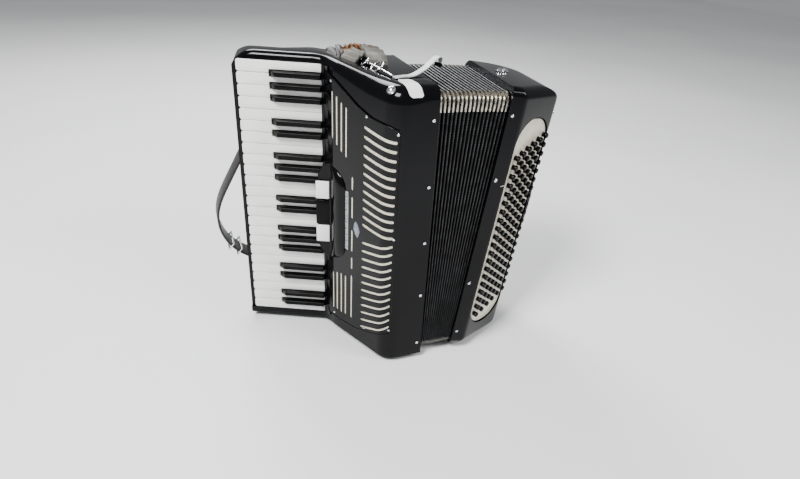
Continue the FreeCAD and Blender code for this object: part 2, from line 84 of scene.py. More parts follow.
@dataclass(frozen=True)
class Layout:
    """Places of the working zero and of the fan hinge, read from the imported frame."""

    zero: Vector
    hinge: Vector
    axis: Vector

    def at(self, x: float, y: float, z: float) -> Vector:
        """Point of the treble side, from millimetres to the row frame."""
        return self.zero + Vector((x, y, z)) * MM

    def turn(self, point: Vector, share: float) -> Vector:
        """Point turned about the fan hinge by a share of the open angle."""
        return self.hinge + Quaternion(self.axis, FAN_ANGLE * share) @ (point - self.hinge)

    def bass(self, x: float, y: float, z: float) -> Vector:
        """Point of the bass side; x runs outward from its joint with the bellows."""
        return self.turn(self.at(BELLOWS_REST + x, y, z), 1.0)

    def key(self, u: float, t: float, z: float) -> Vector:
        """Point in the keyboard's frame: u outward along a key, t into the bed."""
        c, s = math.cos(KEY_ANGLE), math.sin(KEY_ANGLE)
        return self.at(KEY_FOOT_X - u * c + t * s, KEY_FOOT_Y + u * s + t * c, z)

    def slant(self, across: float, out: float, z: float) -> Vector:
        """Point on the slanted front of the bass casing."""
        a = SLANT_ANGLE
        return self.bass(STRIP_WIDTH + across * math.cos(a) + out * math.sin(a),
                         CASE_FRONT + across * math.sin(a) - out * math.cos(a), z)


def read_layout() -> Layout:
    """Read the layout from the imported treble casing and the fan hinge.

    Returns:
        The layout that every class places its pieces with.
    """
    low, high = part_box("treble_casing")
    joint = next(j for j in frame["joints"] if j["name"] == "bellows_fan")
    return Layout(Vector((high[0], low[1] - CASE_FRONT * MM, low[2])), Vector(joint["pos_m"]),
                  Vector(joint["axis"]).normalized())


def linear(code: str) -> tuple[float, float, float, float]:
    """Turn an sRGB hex colour to a linear colour with alpha.

    Args:
        code: colour as six hex digits.

    Returns:
        Linear red, green, blue and an alpha of one.
    """
    parts = [int(code[i:i + 2], 16) / 255 for i in (0, 2, 4)]
    out = [c / 12.92 if c <= 0.04045 else ((c + 0.055) / 1.055) ** 2.4 for c in parts]
    return out[0], out[1], out[2], 1.0


def add(tree: bpy.types.NodeTree, kind: str, links: dict | None = None,
        stops: Sequence[tuple[float, str]] = (), **settings) -> bpy.types.Node:
    """Add one node with its settings and inputs.

    Args:
        tree: node tree to add to.
        kind: node type.
        links: input name or index to a value, a node (its first output) or a (node, output) pair.
        stops: places and hex colours, for a colour ramp.
        settings: attributes of the node itself.

    Returns:
        The new node.
    """
    node = tree.nodes.new(kind)
    for key, value in settings.items():
        setattr(node, key, value)
    for key, value in (links or {}).items():
        if isinstance(value, bpy.types.Node):
            tree.links.new(value.outputs[0], node.inputs[key])
        elif isinstance(value, tuple) and value and isinstance(value[0], bpy.types.Node):
            tree.links.new(value[0].outputs[value[1]], node.inputs[key])
        else:
            node.inputs[key].default_value = value
    for index, (place, code) in enumerate(stops):
        element = node.color_ramp.elements[index] if index < 2 else node.color_ramp.elements.new(place)
        element.position = place
        element.color = linear(code)
    return node


def start_finish(name: str) -> tuple[bpy.types.Material, bpy.types.NodeTree, bpy.types.Node,
                                     bpy.types.Node]:
    """Start a finish.

    Args:
        name: Name of the new material.

    Returns:
        The material, its tree, its shader and its coordinates.
    """
    material = bpy.data.materials.new(name)
    material.use_nodes = True
    tree = material.node_tree
    return material, tree, tree.nodes["Principled BSDF"], add(tree, "ShaderNodeTexCoord")


def wire(tree: bpy.types.NodeTree, shader: bpy.types.Node, sources: dict[str, bpy.types.Node]) -> None:
    """Link the first output of each node to a named input of the shader.

    Args:
        tree: Tree that holds the nodes.
        shader: Node that takes the links.
        sources: For each input's name, the node that feeds it.
    """
    for key, node in sources.items():
        tree.links.new(node.outputs[0], shader.inputs[key])


@dataclass(frozen=True)
class Lacquer:
    """Polished black celluloid over wood: a deep mirror black with faint hairline scratches and dust."""

    name: str = "black_celluloid"
    low: str = "030305"
    high: str = "070709"
    roughness: float = 0.09
    scratch_mm: float = 22.0
    ripple: float = 0.04
    gloss: float = 0.16

    def build(self) -> bpy.types.Material:
        """Make the material.

        Returns:
            The material.
        """
        material, tree, shader, where = start_finish(self.name)
        cloud = add(tree, "ShaderNodeTexNoise", {"Vector": (where, "Object"), "Scale": 9.0, "Detail": 5.0})
        tone = add(tree, "ShaderNodeValToRGB", {"Fac": cloud}, [(0.35, self.low), (0.7, self.high)])
        squeeze = add(tree, "ShaderNodeMapping", {"Vector": (where, "Object"), "Scale": (1.0, 1.0, 7.0)})
        fine = add(tree, "ShaderNodeTexNoise", {"Vector": squeeze, "Scale": 1000.0 / self.scratch_mm,
                                                "Detail": 9.0, "Roughness": 0.7})
        rough = add(tree, "ShaderNodeMapRange", {"Value": fine, "From Min": 0.35, "From Max": 0.75,
                                                 "To Min": self.roughness * 0.7,
                                                 "To Max": self.roughness * 1.9})
        wave = add(tree, "ShaderNodeTexNoise", {"Vector": (where, "Object"), "Scale": 26.0, "Detail": 2.0})
        bump = add(tree, "ShaderNodeBump", {"Height": wave, "Strength": self.ripple, "Distance": 0.001})
        wire(tree, shader, {"Base Color": tone, "Roughness": rough, "Normal": bump})
        shader.inputs["IOR"].default_value = 1.5
        shader.inputs["Specular IOR Level"].default_value = self.gloss
        return material


@dataclass(frozen=True)
class Plastic:
    """Moulded and polished plastic: even colour with slight yellowing, soft gloss and rubbed patches."""

    name: str
    low: str
    high: str
    roughness: float = 0.25
    cloud_mm: float = 60.0
    coat: float = 0.3
    grain_mm: float = 1.2
    bump: float = 0.02
    gloss: float = 0.5

    def build(self) -> bpy.types.Material:
        """Make the material.

        Returns:
            The material.
        """
        material, tree, shader, where = start_finish(self.name)
        cloud = add(tree, "ShaderNodeTexNoise",
                    {"Vector": (where, "Object"), "Scale": 1000.0 / self.cloud_mm,
                                                 "Detail": 6.0})
        tone = add(tree, "ShaderNodeValToRGB", {"Fac": cloud}, [(0.3, self.low), (0.7, self.high)])
        rough = add(tree, "ShaderNodeMapRange", {"Value": cloud, "To Min": self.roughness * 0.6,
                                                 "To Max": self.roughness * 1.5})
        grain = add(tree, "ShaderNodeTexNoise",
                    {"Vector": (where, "Object"), "Scale": 1000.0 / self.grain_mm,
                                                 "Detail": 2.0})
        bump = add(tree, "ShaderNodeBump", {"Height": grain, "Strength": self.bump, "Distance": 0.0005})
        wire(tree, shader, {"Base Color": tone, "Roughness": rough, "Normal": bump})
        shader.inputs["Specular IOR Level"].default_value = self.gloss
        shader.inputs["Coat Weight"].default_value = self.coat
        shader.inputs["Coat Roughness"].default_value = 0.08
        return material


@dataclass(frozen=True)
class KeyFinish:
    """Ivory plastic cap over a maple lever: white polished top, bare wood on the sides below the cap."""

    name: str = "ivory_cap_on_maple"
    ivory: str = "f2f2ef"
    ivory_low: str = "e9e9e4"
    wood: str = "b39a6c"
    wood_low: str = "8d7448"
    cap_mm: float = 3.2

    def build(self, layout: Layout) -> bpy.types.Material:
        """Make the material; the cap is told from the lever by depth below the key tops.

        Args:
            layout: Places and turns taken from the frame.

        Returns:
            The material.
        """
        material, tree, shader, where = start_finish(self.name)
        down = (layout.key(0, 1, 0) - layout.key(0, 0, 0)).normalized()
        depth = add(tree, "ShaderNodeVectorMath", {0: (where, "Object"), 1: tuple(down)},
                    operation="DOT_PRODUCT")
        base = layout.key(0, 0, 0).dot(down)
        below = add(tree, "ShaderNodeMath", {0: (depth, "Value"), 1: base + self.cap_mm * MM},
                    operation="GREATER_THAN")
        cloud = add(tree, "ShaderNodeTexNoise", {"Vector": (where, "Object"), "Scale": 30.0, "Detail": 6.0})
        ivory = add(tree, "ShaderNodeValToRGB", {"Fac": cloud}, [(0.35, self.ivory_low), (0.65,
                                                                                self.ivory)])
        stretch = add(tree, "ShaderNodeMapping", {"Vector": (where, "Object"), "Scale": (0.2, 0.5, 2.0)})
        grain = add(tree, "ShaderNodeTexNoise", {"Vector": stretch, "Scale": 420.0, "Detail": 6.0})
        wood = add(tree, "ShaderNodeValToRGB", {"Fac": grain}, [(0.3, self.wood_low), (0.7, self.wood)])
        mix = add(tree, "ShaderNodeMix", {"Factor": below, "A": ivory, "B": wood}, data_type="RGBA")
        tree.links.new(mix.outputs["Result"], shader.inputs["Base Color"])
        rough = add(tree, "ShaderNodeMapRange", {"Value": below, "To Min": 0.2, "To Max": 0.6})
        wire(tree, shader, {"Roughness": rough})
        shader.inputs["Coat Weight"].default_value = 0.25
        shader.inputs["Coat Roughness"].default_value = 0.1
        return material


@dataclass(frozen=True)
class Metal:
    """Plated or rolled metal: bright with a fine brushed or pitted wear pattern."""

    name: str
    low: str
    high: str
    roughness: float = 0.2
    grain_mm: float = 2.0
    stretch: tuple[float, float, float] = (1.0, 1.0, 1.0)
    bump: float = 0.15

    def build(self) -> bpy.types.Material:
        """Make the material.

        Returns:
            The material.
        """
        material, tree, shader, where = start_finish(self.name)
        squeeze = add(tree, "ShaderNodeMapping", {"Vector": (where, "Object"), "Scale": self.stretch})
        noise = add(tree, "ShaderNodeTexNoise", {"Vector": squeeze, "Scale": 1000.0 / self.grain_mm,
                                                 "Detail": 8.0})
        tone = add(tree, "ShaderNodeValToRGB", {"Fac": noise}, [(0.3, self.low), (0.65, self.high)])
        rough = add(tree, "ShaderNodeMapRange", {"Value": noise, "To Min": self.roughness * 0.6,
                                                 "To Max": self.roughness * 1.8})
        bump = add(tree, "ShaderNodeBump", {"Height": noise, "Strength": self.bump, "Distance": 0.0004})
        wire(tree, shader, {"Base Color": tone, "Roughness": rough, "Normal": bump})
        shader.inputs["Metallic"].default_value = 1.0
        return material


@dataclass(frozen=True)
class Woven:
    """Woven cloth: crossing threads at a real spacing, with a soft sheen."""

    name: str
    low: str
    high: str
    thread_mm: float = 0.9
    roughness: float = 0.85
    sheen: float = 0.2
    bump: float = 0.4

    def build(self) -> bpy.types.Material:
        """Make the material.

        Returns:
            The material.
        """
        material, tree, shader, where = start_finish(self.name)
        warp = add(tree, "ShaderNodeTexWave",
                   {"Vector": (where, "Object"), "Scale": 314.0 / self.thread_mm * 0.32,
                                               "Distortion": 1.5}, bands_direction="Z")
        weft = add(tree, "ShaderNodeTexWave",
                   {"Vector": (where, "Object"), "Scale": 314.0 / self.thread_mm * 0.32,
                                               "Distortion": 1.5}, bands_direction="DIAGONAL")
        cross = add(tree, "ShaderNodeMath", {0: (warp, "Fac"), 1: (weft, "Fac")}, operation="MULTIPLY")
        tone = add(tree, "ShaderNodeValToRGB", {"Fac": cross}, [(0.1, self.low), (0.8, self.high)])
        bump = add(tree, "ShaderNodeBump", {"Height": cross, "Strength": self.bump, "Distance": 0.0004})
        wire(tree, shader, {"Base Color": tone, "Normal": bump})
        shader.inputs["Roughness"].default_value = self.roughness
        shader.inputs["Sheen Weight"].default_value = self.sheen
        return material


@dataclass(frozen=True)
class Leather:
    """Worn strap leather: pebbled grain, rubbed lighter on the high spots."""

    name: str
    low: str
    high: str
    rub: str
    grain_mm: float = 1.6
    roughness: float = 0.5

    def build(self) -> bpy.types.Material:
        """Make the material.

        Returns:
            The material.
        """
        material, tree, shader, where = start_finish(self.name)
        cells = add(tree, "ShaderNodeTexVoronoi",
                    {"Vector": (where, "Object"), "Scale": 1000.0 / self.grain_mm})
        patch = add(tree, "ShaderNodeTexNoise", {"Vector": (where, "Object"), "Scale": 28.0, "Detail": 7.0})
        tone = add(tree, "ShaderNodeValToRGB", {"Fac": patch}, [(0.3, self.low), (0.55, self.high),
                                                                (0.8, self.rub)])
        bump = add(tree, "ShaderNodeBump", {"Height": (cells, "Distance"), "Strength": 0.5,
                                            "Distance": 0.0006})
        rough = add(tree, "ShaderNodeMapRange", {"Value": patch, "To Min": self.roughness * 0.7,
                                                 "To Max": self.roughness * 1.4})
        wire(tree, shader, {"Base Color": tone, "Normal": bump, "Roughness": rough})
        return material


@dataclass(frozen=True)
class BellowsCloth:
    """Black bookbinder's cloth; the bound edges carry a fine worn silver dotted line, the panels none."""

    name: str = "bellows_cloth"
    ground: str = "050505"
    fade: str = "0c0c0d"
    thread: str = "54585c"
    dot_mm: float = 4.2
    dotted: bool = False

    def build(self) -> bpy.types.Material:
        """Make the material.

        Returns:
            The material.
        """
        material, tree, shader, where = start_finish(self.name)
        patch = add(tree, "ShaderNodeTexNoise", {"Vector": (where, "Object"), "Scale": 90.0, "Detail": 6.0})
        cloth = add(tree, "ShaderNodeValToRGB", {"Fac": patch}, [(0.3, self.ground), (0.75, self.fade)])
        tree.links.new(cloth.outputs[0], shader.inputs["Base Color"])
        if self.dotted:
            along = add(tree, "ShaderNodeSeparateXYZ", {"Vector": (where, "Object")})
            beat = add(tree, "ShaderNodeMath", {0: (along, "Z"), 1: 1000.0 / self.dot_mm},
                       operation="MULTIPLY")
            part = add(tree, "ShaderNodeMath", {0: beat}, operation="FRACT")
            dot = add(tree, "ShaderNodeMath", {0: part, 1: 0.5}, operation="LESS_THAN")
            worn = add(tree, "ShaderNodeMapRange", {"Value": patch, "From Min": 0.38, "From Max": 0.62})
            shown = add(tree, "ShaderNodeMath", {0: dot, 1: worn}, operation="MULTIPLY")
            mix = add(tree, "ShaderNodeMix", {"Factor": shown, "A": cloth, "B": linear(self.thread)},
                      data_type="RGBA")
            tree.links.new(mix.outputs["Result"], shader.inputs["Base Color"])
        weave = add(tree, "ShaderNodeTexNoise", {"Vector": (where, "Object"), "Scale": 1400.0,
                                                 "Detail": 2.0})
        bump = add(tree, "ShaderNodeBump", {"Height": weave, "Strength": 0.35, "Distance": 0.0003})
        tree.links.new(bump.outputs[0], shader.inputs["Normal"])
        shader.inputs["Roughness"].default_value = 0.6
        shader.inputs["Specular IOR Level"].default_value = 0.3
        return material


@dataclass
class Palette:
    """All finishes, built once."""

    layout: Layout
    made: dict[str, bpy.types.Material] = field(default_factory=dict)

    def __post_init__(self) -> None:
        """Build every finish."""
        finishes = {
            "case": Lacquer(),
            "grille": Lacquer("black_grille_lacquer", "030304", "08080a", 0.12, 30.0, 0.06),
            "hood": Lacquer("black_hood_lacquer", "030304", "070708", 0.1, 24.0, 0.04),
            "ebony": Plastic("black_key_plastic", "020202", "040404", 0.13, 90.0, 0.0, gloss=0.1),
            "tab_white": Plastic("white_tab_plastic", "ececea", "f6f6f4", 0.25, 40.0, 0.4),
            "cream": Plastic("cream_board_plastic", "cfc8b4", "ddd7c6", 0.35, 45.0, 0.3),
            "button": Plastic("black_button_plastic", "020202", "040404", 0.24, 30.0, 0.0, gloss=0.14),
            # painted reflection: white sheet standing for a lamp's reflection on the glossy treble top
            "plate": Plastic("white_plate_plastic", "e3e4e2", "f0f1ef", 0.3, 30.0, 0.3),
            "cloth": Woven("cream_grille_cloth", "cfc9b4", "efeadb", 0.9, 0.8, 0.1, 0.3),
            "felt": Woven("dark_felt", "101010", "1c1c1c", 0.8),
            "bellows": BellowsCloth(),
            "dotted": BellowsCloth("dotted_bellows_binding", dotted=True),
            "binding": Metal("silver_binding_tape", "9a9da2", "d8dadd", 0.32, 3.0, (1, 1, 1), 0.2),
            "corner": Metal("nickel_corner", "a39a8c", "e6e2d8", 0.24, 5.0, (1, 1, 1), 0.15),
            # painted shade: darker copy of the same nickel for the lower corner guards, which face away
            # from the lamps
            "corner_painted_shade": Metal("dull_nickel_corner", "5b5a57", "97958f", 0.36, 5.0, (1, 1, 1), 0.2),
            "chrome": Metal("chrome_plate", "c3c6ca", "f1f2f4", 0.12, 6.0, (1, 1, 1), 0.05),
            "steel": Metal("drawn_steel", "85878a", "b4b6b9", 0.3, 1.0, (1, 1, 0.05), 0.1),
            "silver": Metal("etched_silver_strip", "707377", "c9ccd0", 0.3, 2.2, (1, 1, 1), 0.5),
            "emblem": Plastic("grey_blue_lens", "464c58", "7b8291", 0.15, 12.0, 0.8),
            "leather": Leather("black_strap_leather", "0b0a0a", "191614", "3a322b"),
            "brown": Leather("brown_strap_leather", "3a2516", "6d4526", "a9794c", 2.0, 0.6),
            "grey": Leather("grey_strap_leather", "3d3c38", "5f5d57", "8d8a82", 2.0, 0.7),
            "silver_strap": Leather("silver_grey_strap", "a8aaa9", "d5d7d7", "f3f4f4", 3.0, 0.35),
            "rubber": Plastic("foot_rubber", "0d0d0d", "181818", 0.75, 12.0, 0.0, 0.8, 0.3),
            "spruce": Plastic("bare_spruce", "a8854f", "c9a871", 0.65, 8.0, 0.0),
        }
        for key, finish in finishes.items():
            self.made[key] = finish.build()
        self.made["ivory"] = KeyFinish().build(self.layout)

    def __getitem__(self, key: str) -> bpy.types.Material:
        """Finish by its short name."""
        return self.made[key]


def mesh_piece(name: str, points: Sequence, faces: Sequence, materials: Sequence[bpy.types.Material],
               sharp: float = 35.0) -> bpy.types.Object:
    """Make a mesh object with merged points, outward faces and smooth shading by angle.

    Args:
        name: object name.
        points: vertices in the row frame.
        faces: vertex index lists.
        materials: material slots.
        sharp: angle in degrees above which an edge stays sharp.

    Returns:
        The new object.
    """
    mesh = bpy.data.meshes.new(name)
    mesh.from_pydata([tuple(p) for p in points], [], [tuple(f) for f in faces])
    obj = bpy.data.objects.new(name, mesh)
    bpy.context.scene.collection.objects.link(obj)
    for material in materials:
        mesh.materials.append(material)
    tidy_mesh(obj, sharp)
    return obj


def tube_faces(rings: int, width: int) -> list[list[int]]:
    """Faces between successive closed rings of points, and a cap on both ends.

    Args:
        rings: Number of rings.
        width: Points in each ring.

    Returns:
        Point numbers of each face.
    """
    faces = [[k * width + i, k * width + (i + 1) % width, (k + 1) * width + (i + 1) % width,
              (k + 1) * width + i]
             for k in range(rings - 1) for i in range(width)]
    return faces + [list(range(width))[::-1], [(rings - 1) * width + i for i in range(width)]]


def tidy_mesh(obj: bpy.types.Object, sharp: float = 35.0, merge: float = 1e-6) -> None:
    """Merge doubles, turn faces outward and shade smooth by angle.

    Args:
        obj: Mesh object to work on.
        sharp: Angle in degrees above which an edge stays sharp.
        merge: Distance in metres under which points are merged.
    """
    bm = bmesh.new()
    bm.from_mesh(obj.data)
    bmesh.ops.remove_doubles(bm, verts=bm.verts, dist=merge)
    bmesh.ops.dissolve_degenerate(bm, edges=bm.edges, dist=merge)
    bmesh.ops.recalc_face_normals(bm, faces=bm.faces)
    bm.to_mesh(obj.data)
    bm.free()
    obj.data.shade_smooth()
    obj.data.set_sharp_from_angle(angle=math.radians(sharp))


def join(name: str, objects: Sequence[bpy.types.Object]) -> bpy.types.Object:
    """Join mesh objects into one, keeping their material slots.

    Args:
        name: Name of the piece.
        objects: Mesh objects; the first one is kept.

    Returns:
        The joined object.
    """
    for obj in bpy.context.selected_objects:
        obj.select_set(False)
    for obj in objects:
        obj.select_set(True)
    bpy.context.view_layer.objects.active = objects[0]
    bpy.ops.object.join()
    objects[0].name = name
    objects[0].data.name = name
    return objects[0]


def freeze(obj: bpy.types.Object) -> None:
    """Turn an object's modifiers into plain mesh.

    Args:
        obj: Mesh object to work on.
    """
    graph = bpy.context.evaluated_depsgraph_get()
    mesh = bpy.data.meshes.new_from_object(obj.evaluated_get(graph))
    obj.modifiers.clear()
    old = obj.data
    obj.data = mesh
    bpy.data.meshes.remove(old)
    mesh.name = obj.name


def carve(obj: bpy.types.Object, tool: bpy.types.Object) -> None:
    """Cut tool out of obj and remove the tool.

    Args:
        obj: Mesh object to work on.
        tool: Solid that is cut away and removed.
    """
    modifier = obj.modifiers.new("cut", "BOOLEAN")
    modifier.operation = "DIFFERENCE"
    modifier.solver = "EXACT"
    modifier.object = tool
    freeze(obj)
    bpy.data.objects.remove(tool)


def bevelled(obj: bpy.types.Object, width_mm: float) -> None:
    """Round an object's sharp edges.

    Args:
        obj: Mesh object to work on.
        width_mm: Width in millimetres.
    """
    modifier = obj.modifiers.new("round", "BEVEL")
    modifier.width = width_mm * MM
    modifier.segments = 2
    modifier.limit_method = "ANGLE"
    modifier.angle_limit = math.radians(35.0)
    freeze(obj)
    tidy_mesh(obj)


def prism(name: str, bottom: Sequence[Vector], top: Sequence[Vector],
          materials: Sequence[bpy.types.Material]) -> bpy.types.Object:
    """Solid between two matching rings of points."""
    return mesh_piece(name, list(bottom) + list(top), tube_faces(2, len(bottom)), materials)


def lathe(name: str, profile: Sequence[tuple[float, float]], steps: int) -> bpy.types.Object:
    """Turned template about the origin from a profile of (radius, height) in millimetres.

    Args:
        name: Name of the piece.
        profile: Points of the profile.
        steps: Number of sides.

    Returns:
        The template.
    """
    points = []
    for r, h in profile:
        for i in range(steps):
            a = 2 * math.pi * i / steps
            points.append(Vector((r * math.cos(a), r * math.sin(a), h)) * MM)
    return mesh_piece(name, points, tube_faces(len(profile), steps), [])


class Stamp:
    """Geometry-nodes tree that sets copies of one template on the points of a mesh."""

    def __init__(self) -> None:
        """Build the tree with its named inputs."""
        tree = bpy.data.node_groups.new("stamp_copies", "GeometryNodeTree")
        sockets = tree.interface
        sockets.new_socket("Points", in_out="INPUT", socket_type="NodeSocketGeometry")
        self.template = sockets.new_socket("Template", in_out="INPUT",
                                           socket_type="NodeSocketObject").identifier
        self.size = sockets.new_socket("Size", in_out="INPUT", socket_type="NodeSocketFloat").identifier
        self.finish = sockets.new_socket("Finish", in_out="INPUT",
                                         socket_type="NodeSocketMaterial").identifier
        sockets.new_socket("Copies", in_out="OUTPUT", socket_type="NodeSocketGeometry")
        given = add(tree, "NodeGroupInput")
        info = add(tree, "GeometryNodeObjectInfo", {"Object": (given, "Template")})
        normal = add(tree, "GeometryNodeInputNamedAttribute", {"Name": "facing"}, data_type="FLOAT_VECTOR")
        align = add(tree, "FunctionNodeAlignRotationToVector", {"Vector": (normal, "Attribute")}, axis="Z")
        copies = add(tree, "GeometryNodeInstanceOnPoints", {"Points": (given, "Points"),
                                                            "Instance": (info, "Geometry"),
                                                            "Rotation": (align, "Rotation"),
                                                            "Scale": (given, "Size")})
        real = add(tree, "GeometryNodeRealizeInstances", {"Geometry": copies})
        dressed = add(tree, "GeometryNodeSetMaterial", {"Geometry": real, "Material": (given, "Finish")})
        add(tree, "NodeGroupOutput", {"Copies": dressed})
        self.tree = tree

    def place(self, name: str, points: Sequence[Vector], facing: Sequence[Vector],
              template: bpy.types.Object,
              finish: bpy.types.Material) -> bpy.types.Object:
        """Copy a template to every point.

        Args:
            name: name of the new piece.
            points: where the copies go.
            facing: the direction each copy's own +Z takes.
            template: object modelled about the origin, removed afterwards.
            finish: material of all copies.

        Returns:
            One plain mesh object with every copy.
        """
        mesh = bpy.data.meshes.new(name)
        mesh.from_pydata([tuple(p) for p in points], [], [])
        stored = mesh.attributes.new("facing", "FLOAT_VECTOR", "POINT")
        stored.data.foreach_set("vector", np.array([tuple(f) for f in facing], np.float32).ravel())
        obj = bpy.data.objects.new(name, mesh)
        modifier = obj.modifiers.new("copies", "NODES")
        modifier.node_group = self.tree
        modifier[self.template] = template
        modifier[self.size] = 1.0
        modifier[self.finish] = finish
        bpy.context.scene.collection.objects.link(obj)
        freeze(obj)
        bpy.data.objects.remove(template)
        obj.data.shade_smooth()
        obj.data.set_sharp_from_angle(angle=math.radians(35))
        return obj


class Bead:
    """Geometry-nodes tree that runs a round or flattened bead along a path."""

    def __init__(self) -> None:
        """Build the tree with its named inputs."""
        tree = bpy.data.node_groups.new("bead_on_path", "GeometryNodeTree")
        sockets = tree.interface
        sockets.new_socket("Path", in_out="INPUT", socket_type="NodeSocketGeometry")
        self.radius = sockets.new_socket("Radius", in_out="INPUT", socket_type="NodeSocketFloat").identifier
        self.finish = sockets.new_socket("Finish", in_out="INPUT",
                                         socket_type="NodeSocketMaterial").identifier
        sockets.new_socket("Bead", in_out="OUTPUT", socket_type="NodeSocketGeometry")
        given = add(tree, "NodeGroupInput")
        path = add(tree, "GeometryNodeMeshToCurve", {"Mesh": (given, "Path")})
        ring = add(tree, "GeometryNodeCurvePrimitiveCircle", {"Resolution": 10, "Radius": (given,
                                                                                "Radius")})
        tube = add(tree, "GeometryNodeCurveToMesh", {"Curve": path, "Profile Curve": ring,
                                                     "Fill Caps": True})
        real = add(tree, "GeometryNodeRealizeInstances", {"Geometry": tube})
        dressed = add(tree, "GeometryNodeSetMaterial", {"Geometry": real, "Material": (given, "Finish")})
        add(tree, "NodeGroupOutput", {"Bead": dressed})
        self.tree = tree

    def run(self, name: str, paths: Sequence[Sequence[Vector]], radius_mm: float,
            finish: bpy.types.Material,
            closed: bool = False) -> bpy.types.Object:
        """Lay a bead along every path.

        Args:
            name: name of the new piece.
            paths: lists of points.
            radius_mm: bead radius.
            finish: material.
            closed: whether each path closes on itself.

        Returns:
            One plain mesh object.
        """
        points, edges = [], []
        for path in paths:
            first = len(points)
            points += [tuple(p) for p in path]
            edges += [(first + i, first + i + 1) for i in range(len(path) - 1)]
            if closed:
                edges.append((len(points) - 1, first))
        mesh = bpy.data.meshes.new(name)
        mesh.from_pydata(points, edges, [])
        obj = bpy.data.objects.new(name, mesh)
        modifier = obj.modifiers.new("bead", "NODES")
        modifier.node_group = self.tree
        modifier[self.radius] = radius_mm * MM
        modifier[self.finish] = finish
        bpy.context.scene.collection.objects.link(obj)
        freeze(obj)
        tidy_mesh(obj, 50.0)
        return obj


def smooth_path(points: Sequence[Vector], parts: int = 8) -> list[Vector]:
    """Curve through all the points, as closely spaced points.

    Args:
        points: Points that the curve passes.
        parts: Points made for each stretch.

    Returns:
        The points of the curve.
    """
    out = []
    for i in range(len(points) - 1):
        p0, p1 = points[max(i - 1, 0)], points[i]
        p2, p3 = points[i + 1], points[min(i + 2, len(points) - 1)]
        for k in range(parts):
            t = k / parts
            out.append(0.5 * (2 * p1 + (p2 - p0) * t + (2 * p0 - 5 * p1 + 4 * p2 - p3) * t * t
                              + (3 * p1 - p0 - 3 * p2 + p3) * t ** 3))
    return out + [points[-1]]


def ribbon(name: str, path: Sequence[Vector], side: Vector, width_mm: float, thick_mm: float,
           materials: Sequence[bpy.types.Material]) -> bpy.types.Object:
    """Flat strap along a path, with rounded long edges.

    Args:
        name: Name of the piece.
        path: Middle line of the strap.
        side: Direction across the strap.
        width_mm: Width in millimetres.
        thick_mm: Thickness in millimetres.
        materials: Materials of its slots.

    Returns:
        The strap.
    """
    points, count = [], 8
    side = side.normalized()
    for i, p in enumerate(path):
        along = (path[min(i + 1, len(path) - 1)] - path[max(i - 1, 0)]).normalized()
        up = along.cross(side).normalized()
        across = up.cross(along).normalized()
        half, t = width_mm * MM / 2, thick_mm * MM / 2
        for a, b in ((-1, 0), (-0.94, 0.8), (0, 1.0), (0.94, 0.8), (1, 0), (0.94, -0.8), (0, -1.0),
                     (-0.94, -0.8)):
            points.append(p + across * half * a + up * t * b)
    return mesh_piece(name, points, tube_faces(len(path), count), materials, 50.0)


def smooth_step(value: float) -> float:
    """Smooth rise from 0 to 1."""
    v = min(max(value, 0.0), 1.0)
    return v * v * (3 - 2 * v)


